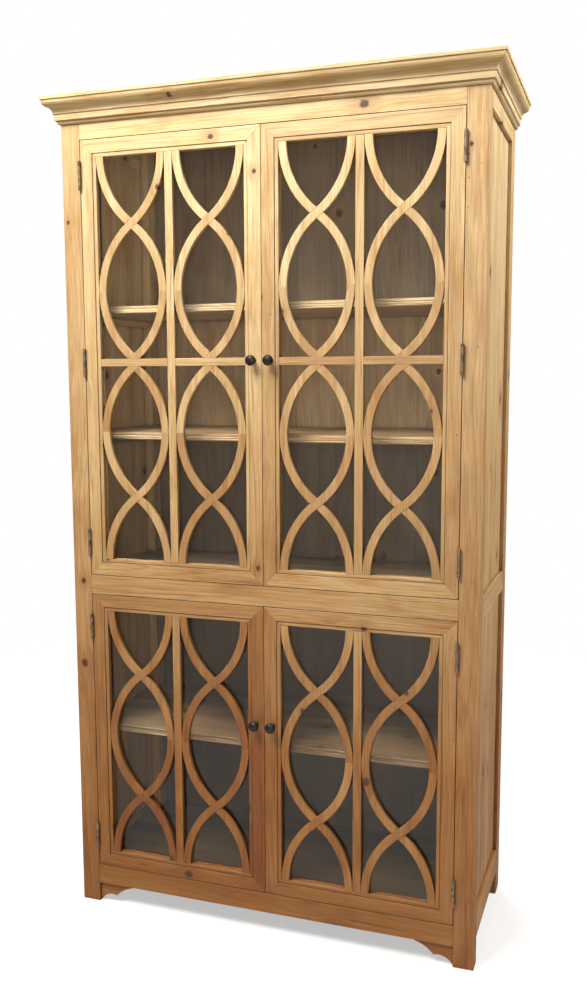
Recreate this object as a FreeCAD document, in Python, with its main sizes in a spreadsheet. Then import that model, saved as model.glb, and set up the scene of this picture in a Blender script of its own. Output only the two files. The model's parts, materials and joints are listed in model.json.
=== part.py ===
import FreeCAD, Part
import math
import os
import re

import Sketcher
from FreeCAD import Placement, Rotation, Vector

# A tall glazed cabinet in pine: a frame-and-panel carcass with five shelf spaces, a mitred
# cornice, and four inset doors whose glass stands behind a curved fretwork of sawn slats.
# Millimetres. +X is to the right of someone facing the doors, +Y is towards the back, +Z is up.
# The origin is on the floor, under the middle of the whole cabinet.

SIZES = {
    "carcass_width": 1120,
    "carcass_depth": 460,
    "carcass_height": 2215,
    "post_width": 53,
    "front_post_depth": 41,
    "back_post_width": 45,
    "back_post_depth": 58,
    "foot_height": 55,
    "bottom_rail_height": 55,
    "middle_rail_height": 53,
    "rail_thickness": 26,
    "side_rail_thickness": 22,
    "side_foot_height": 70,
    "side_bottom_rail_height": 65,
    "edge_ease": 0.9,
    "board_ease": 1.6,
    "side_board_thickness": 9,
    "side_board_recess": 10,
    "groove_depth": 7,
    "side_board_count": 3,
    "back_board_thickness": 12,
    "back_board_count": 9,
    "back_rebate_width": 33,
    "back_rail_thickness": 22,
    "back_rail_height": 36,
    "deck_thickness": 18,
    "shelf_thickness": 20,
    "shelf_setback": 60,
    "shelf_side_clearance": 1,
    "lower_shelf_foot": 490,
    "middle_shelf_foot": 1321,
    "upper_shelf_foot": 1660,
    "cleat_size": 20,
    "stop_thickness": 18,
    "stop_height": 36,
    "stop_drop": 12,
    "stop_end_clearance": 2,
    "top_thickness": 18,
    "cornice_out": 40,
    "cornice_height": 68,
    "cornice_foot_out": 2,
    "cornice_cove_out": 8,
    "cornice_cove_height": 8,
    "cornice_band_out": 13,
    "cornice_band_foot": 10,
    "cornice_band_top": 26,
    "cornice_crown_out": 16,
    "cornice_turn_out": 25,
    "cornice_turn_height": 42,
    "cornice_lip_out": 37,
    "cornice_lip_height": 59,
    "cornice_ovolo_radius": 14,
    "cornice_scotia_radius": 15,
    "mitre_overcut": 1,
    "bracket_length": 100,
    "bracket_thickness": 18,
    "bracket_setback": 7,
    "bracket_end_height": 6,
    "bracket_cusp_along": 51,
    "bracket_cusp_height": 20,
    "bracket_foot_radius": 43,
    "bracket_arm_radius": 85,
    "door_gap": 1.5,
    "door_thickness": 25,
    "frame_width": 45,
    "frame_face": 34.5,
    "quirk_width": 1.5,
    "quirk_depth": 3.5,
    "lip_drop": 2,
    "glass_seat": 14,
    "rebate_width": 9.5,
    "glass_thickness": 4,
    "glass_margin": 8,
    "wave_quarter": 173.75,
    "slat_width": 21,
    "slat_thickness": 12,
    "muntin_width": 22,
    "bar_height": 20,
    "hinge_length": 73,
    "hinge_inset": 91,
    "hinge_proud": 5,
    "barrel_radius": 4,
    "pin_radius": 2,
    "pin_clearance": 0.2,
    "pin_cap_radius": 3.5,
    "pin_cap_top_radius": 2.5,
    "pin_cap_height": 1,
    "pin_cap_dome": 0.3,
    "knuckle_clearance": 0.3,
    "leaf_thickness": 1.8,
    "leaf_spacing": 0.7,
    "leaf_reach": 27,
    "leaf_start": 5.6,
    "screw_head_radius": 3,
    "screw_shank_radius": 1.6,
    "screw_head_depth": 1.4,
    "screw_length": 16,
    "screw_spread": 25,
    "slot_width": 0.8,
    "knob_radius": 14,
    "knob_reach": 29,
    "knob_rose_radius": 8.5,
    "knob_neck_radius": 4.75,
    "knob_spindle_radius": 2.5,
    "knob_spindle_length": 18,
    "knob_crown_radius": 15.8,
    "knob_rim_radius": 3,
    "knob_rim_depth": 9,
    "knob_cap_depth": 12.5,
    "knob_neck_depth": 16,
    "knob_collar_height": 5,
    "knob_rose_height": 2,
    "knob_rise_upper": 2.5,
    "knob_rise_lower": 75,
    "catch_radius": 4.5,
    "catch_depth": 14,
    "catch_flange_radius": 7,
    "catch_flange_height": 1,
    "catch_ball_radius": 3,
    "catch_ball_proud": 1,
    "catch_offset": 60,
}

doc = FreeCAD.newDocument("glazed_cabinet")
sheet = doc.addObject("Spreadsheet::Sheet", "Sizes")
for row, (alias, size) in enumerate(SIZES.items(), start=1):
    sheet.set(f"A{row}", alias)
    sheet.set(f"B{row}", str(size))
    sheet.setAlias(f"B{row}", alias)
doc.recompute()

# Places that follow from the driving dimensions, as expressions on the sheet.
FRONT = "((cornice_out - carcass_depth) / 2)"
BACK = "((cornice_out + carcass_depth) / 2)"
HALF = "(carcass_width / 2)"
BAY = "(carcass_width / 2 - post_width)"
DOOR_WIDTH = f"({BAY} - 1.5 * door_gap)"
LOWER_ZONE = "(4 * wave_quarter + 2 * frame_width + 2 * door_gap)"
UPPER_ZONE = "(6 * wave_quarter + bar_height + 2 * frame_width + 2 * door_gap)"
BOTTOM_RAIL_TOP = "(foot_height + bottom_rail_height)"
MIDDLE_RAIL_FOOT = f"({BOTTOM_RAIL_TOP} + {LOWER_ZONE})"
MIDDLE_RAIL_TOP = f"({MIDDLE_RAIL_FOOT} + middle_rail_height)"
FRIEZE_FOOT = f"({MIDDLE_RAIL_TOP} + {UPPER_ZONE})"
POST_TOP = "(carcass_height - top_thickness)"
RAIL_BACK = f"({FRONT} + rail_thickness)"
SIDE_FRONT = f"({FRONT} + front_post_depth)"
SIDE_BACK = f"({BACK} - back_post_depth)"
SIDE_LENGTH = "(carcass_depth - front_post_depth - back_post_depth)"
BACK_BOARD_FRONT = f"({BACK} - back_board_thickness)"
BACK_RAIL_FRONT = f"({BACK_BOARD_FRONT} - back_rail_thickness)"
SIDE_RAIL_INNER = f"({HALF} - side_rail_thickness)"
SIDE_BOARD_INNER = f"({HALF} - side_board_recess - side_board_thickness)"
COLUMN = f"(({DOOR_WIDTH} - 2 * frame_width - muntin_width) / 2)"
HINGE_AXIS = f"({BAY} - door_gap / 2)"
SIDES = {"left": -1, "right": 1}

nodes = []


def cell(expression):
    """Return an expression with every alias in it written as a reference to the sheet."""
    def reference(word):
        return f"Sizes.{word.group()}" if word.group() in SIZES else word.group()
    return re.sub(r"[a-z_]+", reference, str(expression))


def value(expression):
    """Return the number that an expression on the sheet comes to."""
    return float(sheet.evalExpression(cell(expression)))


def bind(thing, **expressions):
    """Bind properties of an object to expressions on the sheet."""
    for name, expression in expressions.items():
        thing.setExpression(name, cell(expression))


def place(thing, corner, axis=Vector(0, 0, 1), angle=0):
    """Turn an object and bind the place of its own origin to three expressions."""
    thing.Placement = Placement(Vector(*(value(along) for along in corner)), Rotation(axis, angle))
    for name, expression in zip("xyz", corner):
        thing.setExpression(f"Placement.Base.{name}", cell(expression))
    return thing


def node(thing, name):
    """Name a finished sub-part and keep it for the export."""
    thing.Label = name
    nodes.append(thing)
    return thing


def block(name, corner, size):
    """Make a plain block from its lowest corner and its three sizes."""
    box = doc.addObject("Part::Box", name)
    bind(box, Length=size[0], Width=size[1], Height=size[2])
    return place(box, corner)


def rod(name, centre, radius, length, axis=Vector(0, 0, 1), angle=0):
    """Make a cylinder that stands on a point."""
    cylinder = doc.addObject("Part::Cylinder", name)
    bind(cylinder, Radius=radius, Height=length)
    return place(cylinder, centre, axis, angle)


def link(name, source, corner=("0", "0", "0")):
    """Place one more copy of an object."""
    copy = doc.addObject("App::Link", name)
    copy.LinkedObject = source
    return place(copy, corner)


def group(name, pieces):
    """Gather separate solids as one object."""
    compound = doc.addObject("Part::Compound", name)
    compound.Links = pieces
    return compound


def cut(name, base, tools):
    """Cut tools out of a base."""
    result = doc.addObject("Part::Cut", name)
    result.Base = base
    result.Tool = tools[0] if len(tools) == 1 else group(f"{name}_tools", tools)
    return result


def eased_board(name, corner, size, ease="edge_ease"):
    """Make a board whose every edge is eased by a small chamfer."""
    body = doc.addObject("PartDesign::Body", name)
    box = body.newObject("PartDesign::AdditiveBox", f"{name}_box")
    bind(box, Length=size[0], Width=size[1], Height=size[2])
    doc.recompute()
    chamfer = body.newObject("PartDesign::Chamfer", f"{name}_eased")
    chamfer.Base = (box, ["Edge1"])
    chamfer.UseAllEdges = True
    bind(chamfer, Size=ease)
    return place(body, corner)


def sketch_on(body, role, name):
    """Start a sketch on one of a body's own origin planes."""
    sketch = body.newObject("Sketcher::SketchObject", name)
    plane = next(item for item in body.Origin.OriginFeatures if item.Role == role)
    sketch.AttachmentSupport = [(plane, "")]
    sketch.MapMode = "FlatFace"
    return sketch


def add_edge(sketch, start, end, bend):
    """Add a line, or an arc of a given radius, and return its index and the ends' numbers."""
    if bend is None:
        return sketch.addGeometry(Part.LineSegment(start, end), False), 1, 2
    radius, side = value(bend[0]), bend[1]
    chord = end - start
    height = math.sqrt(radius ** 2 - chord.Length ** 2 / 4)
    across = Vector(-chord.y, chord.x, 0).normalize()
    centre = (start + end) / 2 + across * height * side
    first, last = (start, end) if side > 0 else (end, start)
    angles = [math.atan2(point.y - centre.y, point.x - centre.x) for point in (first, last)]
    circle = Part.Circle(centre, Vector(0, 0, 1), radius)
    edge = sketch.addGeometry(Part.ArcOfCircle(circle, *angles), False)
    fixed = sketch.addConstraint(Sketcher.Constraint("Radius", edge, radius))
    sketch.setExpression(f"Constraints[{fixed}]", cell(bend[0]))
    return (edge, 1, 2) if side > 0 else (edge, 2, 1)


def draw_outline(sketch, corners):
    """Draw a closed outline whose corners and radii are all bound to the sheet.

    A corner is (across, up), or (across, up, radius, side) where the edge that leaves it is an
    arc: side is 1 when the arc's centre is on the left of the way round, and -1 on the right.
    """
    points = [Vector(value(corner[0]), value(corner[1]), 0) for corner in corners]
    edges = []
    for index, corner in enumerate(corners):
        bend = corner[2:] if len(corner) > 2 else None
        edges.append(add_edge(sketch, points[index], points[(index + 1) % len(points)], bend))
    for index, (edge, start, end) in enumerate(edges):
        following, following_start, _ = edges[(index + 1) % len(edges)]
        sketch.addConstraint(Sketcher.Constraint("Coincident", edge, end, following, following_start))
        for kind, expression in zip(("DistanceX", "DistanceY"), corners[index]):
            distance = Sketcher.Constraint(kind, -1, 1, edge, start, value(expression))
            fixed = sketch.addConstraint(distance)
            sketch.setExpression(f"Constraints[{fixed}]", cell(expression))


def pad(body, sketch, length, reverse=False):
    """Pad a sketch by a length."""
    feature = body.newObject("PartDesign::Pad", f"{sketch.Name}_pad")
    feature.Profile = sketch
    feature.Reversed = reverse
    bind(feature, Length=length)
    doc.recompute()
    return feature


def pocket(body, sketch, reverse=False):
    """Pocket a sketch right through, and stop if it has cut nothing."""
    before = body.Shape.Volume
    feature = body.newObject("PartDesign::Pocket", f"{sketch.Name}_pocket")
    feature.Profile = sketch
    feature.Type = "ThroughAll"
    feature.Reversed = reverse
    doc.recompute()
    if body.Shape.Volume >= before:
        raise RuntimeError(f"{feature.Name} cuts nothing")
    return feature


def revolve(body, sketch):
    """Turn a sketch all the way round its own upright axis."""
    feature = body.newObject("PartDesign::Revolution", f"{sketch.Name}_turned")
    feature.Profile = sketch
    feature.ReferenceAxis = (sketch, ["V_Axis"])
    feature.Angle = 360
    return feature


def hinge_masters():
    """Make one butt hinge about the Z axis: its two leaves, its pin and its screws.

    The frame's leaf lies on the -X side and has three knuckles, the door's has the two between.
    """
    step = "(hinge_length / 5)"
    masters = {}
    for leaf, sign, knuckles in (("frame", -1, (0, 2, 4)), ("door", 1, (1, 3))):
        near = "leaf_spacing / 2" if sign > 0 else "-leaf_spacing / 2 - leaf_thickness"
        pieces = [block(
            f"{leaf}_leaf_plate", (near, "leaf_start", "-hinge_length / 2"),
            ("leaf_thickness", "leaf_reach - leaf_start", "hinge_length"))]
        for number in knuckles:
            foot = f"-hinge_length / 2 + {number} * {step} + knuckle_clearance / 2"
            height = f"{step} - knuckle_clearance"
            pieces.append(block(
                f"{leaf}_tongue_{number}", (near, "0", foot), ("leaf_thickness", "leaf_start", height)))
            pieces.append(rod(f"{leaf}_knuckle_{number}", ("0", "0", foot), "barrel_radius", height))
        solid = doc.addObject("Part::MultiFuse", f"{leaf}_leaf_solid")
        solid.Shapes = pieces
        bore_radius = "pin_radius" if leaf == "frame" else "pin_radius + pin_clearance"
        bore = rod(f"{leaf}_leaf_bore", ("0", "0", "-hinge_length"), bore_radius, "2 * hinge_length")
        screws = leaf_screws(leaf, sign)
        masters[f"{leaf}_leaf"] = cut(f"{leaf}_leaf", solid, [bore, screws["uncut"]])
        masters[f"{leaf}_screws"] = screws["slotted"]
    masters["pin"] = hinge_pin()
    return masters


def leaf_screws(leaf, sign):
    """Make a leaf's three countersunk screws, plain for cutting their holes and slotted."""
    plain, slotted = [], []
    middle = "(leaf_start + leaf_reach) / 2"
    for number in (-1, 0, 1):
        height = f"{number} * screw_spread"
        name = f"{leaf}_screw_{number + 1}"
        head = doc.addObject("Part::Cone", f"{name}_head")
        bind(head, Radius1="screw_head_radius", Radius2="screw_shank_radius", Height="screw_head_depth")
        seat = (f"{sign} * leaf_spacing / 2", middle, height)
        place(head, seat, Vector(0, 1, 0), 90 * sign)
        shank = rod(
            f"{name}_shank", seat, "screw_shank_radius", "screw_length", Vector(0, 1, 0), 90 * sign)
        screw = doc.addObject("Part::Fuse", name)
        screw.Base, screw.Tool = head, shank
        plain.append(screw)
        slot = block(
            f"{name}_slot",
            (f"{sign} * leaf_spacing / 2 - slot_width / 2", f"{middle} - screw_head_radius",
             f"{height} - slot_width / 2"),
            ("slot_width", "2 * screw_head_radius", "slot_width"))
        slotted.append(cut(f"{name}_slotted", screw, [slot]))
    return {"uncut": group(f"{leaf}_screw_holes", plain), "slotted": group(f"{leaf}_screw_set", slotted)}


def hinge_pin():
    """Make a hinge pin with a small domed cap at each end."""
    body = doc.addObject("PartDesign::Body", "hinge_pin")
    sketch = sketch_on(body, "XZ_Plane", "hinge_pin_half")
    end = "hinge_length / 2"
    draw_outline(sketch, [
        ("0", f"-{end} - pin_cap_height - pin_cap_dome"),
        ("pin_cap_top_radius", f"-{end} - pin_cap_height"),
        ("pin_cap_radius", f"-{end}"),
        ("pin_radius", f"-{end}"),
        ("pin_radius", end),
        ("pin_cap_radius", end),
        ("pin_cap_top_radius", f"{end} + pin_cap_height"),
        ("0", f"{end} + pin_cap_height + pin_cap_dome"),
    ])
    revolve(body, sketch)
    return body


def slat_masters():
    """Make the fretwork's slats about one crossing of two waves.

    Each slat is two arcs that meet at the crossing, from a touch with one side of its column to
    a touch with the other. The rising slat is whole and the falling one is cut in two by it.
    """
    reach = f"(({COLUMN} - slat_width) / 2)"
    radius = f"(({reach}^2 + wave_quarter^2) / (2 * {reach}))"
    outer = f"{radius} + slat_width / 2"
    inner = f"{radius} - slat_width / 2"
    across = f"({reach} - {radius}) / {radius} * slat_width / 2"
    upward = f"wave_quarter / {radius} * slat_width / 2"
    body = doc.addObject("PartDesign::Body", "slat_rising")
    sketch = sketch_on(body, "XZ_Plane", "slat_rising_outline")
    draw_outline(sketch, [
        (f"-{reach} - slat_width / 2", "-wave_quarter", outer, -1),
        (across, upward, inner, 1),
        (f"{reach} - slat_width / 2", "wave_quarter"),
        (f"{reach} + slat_width / 2", "wave_quarter", outer, -1),
        (f"-({across})", f"-{upward}", inner, 1),
        (f"-{reach} + slat_width / 2", "-wave_quarter"),
    ])
    pad(body, sketch, "slat_thickness", reverse=True)
    mirrored = doc.addObject("Part::Mirroring", "slat_falling_whole")
    mirrored.Source = body
    mirrored.Normal = Vector(1, 0, 0)
    falling = cut("slat_falling", mirrored, [body])
    masters = {"whole": [body, falling]}
    for part, foot in (("upper", "0"), ("lower", "-wave_quarter")):
        half = block(
            f"slat_{part}_half", (f"-{COLUMN}", "0", foot),
            (f"2 * {COLUMN}", "slat_thickness", "wave_quarter"))
        masters[part] = []
        for slat in (body, falling):
            common = doc.addObject("Part::Common", f"{slat.Name}_{part}")
            common.Base, common.Tool = slat, half
            masters[part].append(common)
    return masters


def carcass_blanks():
    """Make the four posts as plain eased boards, before anything is cut into them."""
    blanks = {}
    for side, sign in SIDES.items():
        left = f"-{HALF}" if sign < 0 else f"{HALF} - post_width"
        blanks[f"post_front_{side}"] = eased_board(
            f"post_front_{side}_blank", (left, FRONT, "0"), ("post_width", "front_post_depth", POST_TOP))
        left = f"-{HALF}" if sign < 0 else f"{HALF} - back_post_width"
        blanks[f"post_back_{side}"] = eased_board(
            f"post_back_{side}_blank", (left, SIDE_BACK, "0"),
            ("back_post_width", "back_post_depth", POST_TOP))
    return blanks


def side_panels(side, sign):
    """Make one side's boards, in a lower and an upper panel, and the blocks that groove for them."""
    left = f"-{HALF} + side_board_recess" if sign < 0 else SIDE_BOARD_INNER
    width = f"({SIDE_LENGTH} + 2 * groove_depth) / side_board_count"
    zones = {
        "lower": ("(side_foot_height + side_bottom_rail_height)", MIDDLE_RAIL_FOOT),
        "upper": (MIDDLE_RAIL_TOP, FRIEZE_FOOT),
    }
    boards, grooves = [], []
    for zone, (foot, head) in zones.items():
        low = f"{foot} - groove_depth"
        height = f"{head} - {foot} + 2 * groove_depth"
        for number in range(SIZES["side_board_count"]):
            start = f"{SIDE_FRONT} - groove_depth + {number} * {width}"
            boards.append(eased_board(
                f"side_board_{side}_{zone}_{number}", (left, start, low),
                ("side_board_thickness", width, height), "board_ease"))
        grooves.append(block(
            f"side_groove_{side}_{zone}", (left, f"{SIDE_FRONT} - groove_depth", low),
            ("side_board_thickness", f"{SIDE_LENGTH} + 2 * groove_depth", height)))
    node(group(f"side_boards_{side}", boards), f"side_boards_{side}")
    return grooves


def side_rails(side, sign, grooves):
    """Make one side's three rails, grooved for its boards."""
    left = f"-{HALF}" if sign < 0 else SIDE_RAIL_INNER
    spans = {
        "bottom": ("side_foot_height", "side_bottom_rail_height"),
        "middle": (MIDDLE_RAIL_FOOT, "middle_rail_height"),
        "top": (FRIEZE_FOOT, f"{POST_TOP} - {FRIEZE_FOOT}"),
    }
    rails = []
    for level, (foot, height) in spans.items():
        blank = eased_board(
            f"side_rail_{side}_{level}_blank", (left, SIDE_FRONT, foot),
            ("side_rail_thickness", SIDE_LENGTH, height))
        rails.append(cut(f"side_rail_{side}_{level}", blank, grooves))
    node(group(f"side_rails_{side}", rails), f"side_rails_{side}")


def front_rails(catch_holes):
    """Make the frieze rail, the middle rail and the bottom rail between the front posts."""
    spans = {
        "rail_bottom": ("foot_height", "bottom_rail_height"),
        "rail_middle": (MIDDLE_RAIL_FOOT, "middle_rail_height"),
        "rail_frieze": (FRIEZE_FOOT, f"{POST_TOP} - {FRIEZE_FOOT}"),
    }
    for name, (foot, height) in spans.items():
        blank = eased_board(
            f"{name}_blank", (f"-{BAY}", FRONT, foot), (f"2 * {BAY}", "rail_thickness", height))
        if name in catch_holes:
            blank = cut(f"{name}_drilled", blank, catch_holes[name])
        node(blank, name)


def back_panel():
    """Make the boards that close the back and the three rails that they are nailed to."""
    foot = "side_foot_height"
    start = f"-{HALF} + back_post_width - back_rebate_width"
    width = f"(2 * ({HALF} - back_post_width + back_rebate_width) / back_board_count)"
    boards = [eased_board(
        f"back_board_{number}", (f"{start} + {number} * {width}", BACK_BOARD_FRONT, foot),
        (width, "back_board_thickness", f"{POST_TOP} - {foot}"), "board_ease")
        for number in range(SIZES["back_board_count"])]
    node(group("back_boards", boards), "back_boards")
    inner = f"{HALF} - back_post_width"
    levels = {
        "bottom": f"{BOTTOM_RAIL_TOP} - deck_thickness - back_rail_height",
        "middle": f"{MIDDLE_RAIL_TOP} - deck_thickness - back_rail_height",
        "top": f"{POST_TOP} - back_rail_height",
    }
    rails = [eased_board(
        f"back_rail_{level}", (f"-({inner})", BACK_RAIL_FRONT, height),
        (f"2 * ({inner})", "back_rail_thickness", "back_rail_height"))
        for level, height in levels.items()]
    node(group("back_rails", rails), "back_rails")
    return block(
        "back_rebate", (start, BACK_BOARD_FRONT, foot),
        (f"back_board_count * {width}", "back_board_thickness", f"{POST_TOP} - {foot}"))


def decks_and_shelves(blanks):
    """Make the two fixed decks and the three shelves, notched around the posts, and their cleats."""
    for level, top in (("bottom", BOTTOM_RAIL_TOP), ("middle", MIDDLE_RAIL_TOP)):
        deck = eased_board(
            f"deck_{level}_blank", (f"-{SIDE_RAIL_INNER}", RAIL_BACK, f"{top} - deck_thickness"),
            (f"2 * {SIDE_RAIL_INNER}", f"{BACK_BOARD_FRONT} - {RAIL_BACK}", "deck_thickness"))
        node(cut(f"deck_{level}", deck, list(blanks.values())), f"deck_{level}")
    back_posts = [blanks["post_back_left"], blanks["post_back_right"]]
    half = f"({SIDE_BOARD_INNER} - shelf_side_clearance)"
    start = f"({FRONT} + shelf_setback)"
    shelf_cleats, deck_cleats = [], []
    for level in ("lower", "middle", "upper"):
        foot = f"{level}_shelf_foot"
        shelf = eased_board(
            f"shelf_{level}_blank", (f"-{half}", start, foot),
            (f"2 * {half}", f"{BACK_BOARD_FRONT} - {start}", "shelf_thickness"), "board_ease")
        node(cut(f"shelf_{level}", shelf, back_posts), f"shelf_{level}")
        shelf_cleats += cleat_pair(level, SIDE_BOARD_INNER, start, f"{foot} - cleat_size")
    for level, top in (("bottom", BOTTOM_RAIL_TOP), ("middle", MIDDLE_RAIL_TOP)):
        foot = f"{top} - deck_thickness - cleat_size"
        deck_cleats += cleat_pair(f"deck_{level}", SIDE_RAIL_INNER, SIDE_FRONT, foot)
    node(group("shelf_cleats", shelf_cleats), "shelf_cleats")
    node(group("deck_cleats", deck_cleats), "deck_cleats")


def cleat_pair(name, wall, start, foot):
    """Make the two battens that carry a shelf or a deck at its ends."""
    size = ("cleat_size", f"{SIDE_BACK} - {start}", "cleat_size")
    return [
        eased_board(f"cleat_{name}_left", (f"-{wall}", start, foot), size),
        eased_board(f"cleat_{name}_right", (f"{wall} - cleat_size", start, foot), size),
    ]


def door_stops():
    """Make the battens behind the frieze rail and the middle rail that the doors close against."""
    strips = [eased_board(
        f"door_stop_{number}",
        (f"-{BAY} + stop_end_clearance", RAIL_BACK, f"{rail} - stop_drop"),
        (f"2 * {BAY} - 2 * stop_end_clearance", "stop_thickness", "stop_height"))
        for number, rail in enumerate((MIDDLE_RAIL_FOOT, FRIEZE_FOOT))]
    node(group("door_stops", strips), "door_stops")


def ball_catches():
    """Make the four ball catches let into the rails above the doors, and the holes they need."""
    catches, holes = [], {}
    for rail, foot in (("rail_middle", MIDDLE_RAIL_FOOT), ("rail_frieze", FRIEZE_FOOT)):
        holes[rail] = []
        for side, sign in SIDES.items():
            name = f"catch_{rail}_{side}"
            centre = (f"{sign} * catch_offset", f"{FRONT} + door_thickness / 2", foot)
            case = rod(f"{name}_case", centre, "catch_radius", "catch_depth")
            flange = rod(f"{name}_flange", centre, "catch_flange_radius", "catch_flange_height")
            ball = doc.addObject("Part::Sphere", f"{name}_ball")
            bind(ball, Radius="catch_ball_radius")
            place(ball, (*centre[:2], f"{foot} + catch_ball_radius - catch_ball_proud"))
            catch = doc.addObject("Part::MultiFuse", name)
            catch.Shapes = [case, flange, ball]
            catches.append(catch)
            holes[rail].append(catch)
    node(group("ball_catches", catches), "ball_catches")
    return holes


def cornice_member(name, length, mitred_start, mitred_end):
    """Make one run of cornice along X, its back on the plane Y = 0, with mitres where asked."""
    body = doc.addObject("PartDesign::Body", name)
    profile = sketch_on(body, "YZ_Plane", f"{name}_profile")
    draw_outline(profile, [
        ("0", "0"),
        ("0", "cornice_height"),
        ("-cornice_out + edge_ease", "cornice_height"),
        ("-cornice_out", "cornice_height - edge_ease"),
        ("-cornice_out", "cornice_lip_height + edge_ease"),
        ("-cornice_out + edge_ease", "cornice_lip_height"),
        ("-cornice_lip_out", "cornice_lip_height", "cornice_scotia_radius", 1),
        ("-cornice_turn_out", "cornice_turn_height", "cornice_ovolo_radius", -1),
        ("-cornice_crown_out", "cornice_band_top"),
        ("-cornice_band_out", "cornice_band_top"),
        ("-cornice_band_out", "cornice_band_foot"),
        ("-cornice_cove_out", "cornice_band_foot"),
        ("-cornice_cove_out", "cornice_cove_height", "cornice_cove_height", 1),
        ("-cornice_foot_out", "0"),
    ])
    pad(body, profile, length)
    mitres = sketch_on(body, "XY_Plane", f"{name}_mitres")
    far = "cornice_out + mitre_overcut"
    if mitred_start:
        draw_outline(mitres, [
            ("-mitre_overcut", f"-({far})"), (far, "mitre_overcut"), ("-mitre_overcut", "mitre_overcut")])
    if mitred_end:
        draw_outline(mitres, [
            (f"{length} + mitre_overcut", f"-({far})"),
            (f"{length} + mitre_overcut", "mitre_overcut"),
            (f"{length} - ({far})", "mitre_overcut"),
        ])
    pocket(body, mitres, reverse=True)
    return body


def cornice_and_top():
    """Make the three runs of cornice, mitred at the front corners, and the board that they frame."""
    foot = "carcass_height - cornice_height"
    front = cornice_member("cornice_front", "carcass_width + 2 * cornice_out", True, True)
    node(place(front, (f"-{HALF} - cornice_out", FRONT, foot)), "cornice_front")
    run = "carcass_depth + cornice_out"
    right = cornice_member("cornice_right", run, True, False)
    node(place(right, (HALF, f"{FRONT} - cornice_out", foot), angle=90), "cornice_right")
    left = cornice_member("cornice_left", run, False, True)
    node(place(left, (f"-{HALF}", BACK, foot), angle=-90), "cornice_left")
    node(eased_board(
        "top_board_blank", (f"-{HALF}", FRONT, POST_TOP),
        ("carcass_width", "carcass_depth", "top_thickness")), "top_board")


def corner_brackets():
    """Make the scalloped brackets between the feet and the bottom rail."""
    for side, sign in SIDES.items():
        body = doc.addObject("PartDesign::Body", f"bracket_{side}_body")
        outline = sketch_on(body, "XZ_Plane", f"bracket_{side}_outline")
        turn = -sign
        draw_outline(outline, [
            ("0", "0", "bracket_foot_radius", -turn),
            (f"{turn} * bracket_cusp_along", "bracket_cusp_height", "bracket_arm_radius", -turn),
            (f"{turn} * bracket_length", "foot_height - bracket_end_height"),
            (f"{turn} * bracket_length", "foot_height"),
            ("0", "foot_height"),
        ])
        pad(body, outline, "bracket_thickness", reverse=True)
        place(body, (f"{sign} * {BAY}", f"{FRONT} + bracket_setback", "0"))
        node(body, f"bracket_{side}")


def hinge_sites():
    """List every hinge as its door, its side and the height of its middle."""
    sites = []
    zones = {
        "upper": (MIDDLE_RAIL_TOP, FRIEZE_FOOT, True),
        "lower": (BOTTOM_RAIL_TOP, MIDDLE_RAIL_FOOT, False),
    }
    for zone, (foot, head, tall) in zones.items():
        heights = [f"{foot} + hinge_inset", f"{head} - hinge_inset"]
        if tall:
            heights.append(f"({foot} + {head}) / 2")
        sites += [(f"door_{zone}_{side}", side, height) for side in SIDES for height in heights]
    return sites


def placed_hinges(masters):
    """Place the hinges, and return each one's pieces by the part that they are fixed to."""
    kinds = ("frame_leaf", "frame_screws", "door_leaf", "door_screws")
    mirrored = {}
    for kind in kinds:
        mirror = doc.addObject("Part::Mirroring", f"{kind}_mirrored")
        mirror.Source = masters[kind]
        mirror.Normal = Vector(1, 0, 0)
        mirrored[kind] = mirror
    placed = {"pins": []}
    for number, (door, side, height) in enumerate(hinge_sites()):
        corner = (f"{SIDES[side]} * {HINGE_AXIS}", f"{FRONT} - hinge_proud", height)
        for kind in kinds:
            source = (masters if side == "left" else mirrored)[kind]
            owner = f"{kind}_{side}" if kind.startswith("frame") else f"{kind}_{door}"
            placed.setdefault(owner, []).append(link(f"{kind}_{number}", source, corner))
        placed["pins"].append(link(f"hinge_pin_{number}", masters["pin"], corner))
    return placed


def posts(blanks, hinges, grooves, rebate):
    """Cut the posts for the hinges, the side boards and the back boards."""
    for side in SIDES:
        name = f"post_front_{side}"
        hardware = hinges[f"frame_leaf_{side}"] + hinges[f"frame_screws_{side}"]
        node(cut(name, blanks[name], grooves[side] + hardware), name)
        name = f"post_back_{side}"
        node(cut(name, blanks[name], grooves[side] + [rebate]), name)


def frame_member(name, length, corner, angle):
    """Make one mitred member of a door frame along X, its outer edge on the plane Z = 0."""
    body = doc.addObject("PartDesign::Body", name)
    section = sketch_on(body, "YZ_Plane", f"{name}_section")
    lip_start = "frame_face + quirk_width"
    draw_outline(section, [
        ("edge_ease", "0"),
        ("door_thickness - edge_ease", "0"),
        ("door_thickness", "edge_ease"),
        ("door_thickness", "frame_width - rebate_width"),
        ("glass_seat", "frame_width - rebate_width"),
        ("glass_seat", "frame_width"),
        ("lip_drop + edge_ease", "frame_width"),
        ("lip_drop", "frame_width - edge_ease"),
        ("lip_drop", lip_start),
        ("quirk_depth", lip_start),
        ("quirk_depth", "frame_face"),
        ("edge_ease", "frame_face"),
        ("0", "frame_face - edge_ease"),
        ("0", "edge_ease"),
    ])
    pad(body, section, length)
    mitres = sketch_on(body, "XZ_Plane", f"{name}_mitres")
    far = "frame_width + mitre_overcut"
    draw_outline(mitres, [("-mitre_overcut", "-mitre_overcut"), (far, far), ("-mitre_overcut", far)])
    draw_outline(mitres, [
        (f"{length} + mitre_overcut", "-mitre_overcut"),
        (f"{length} + mitre_overcut", far),
        (f"{length} - ({far})", far),
    ])
    pocket(body, mitres)
    return place(body, corner, Vector(0, 1, 0), angle)


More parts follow.
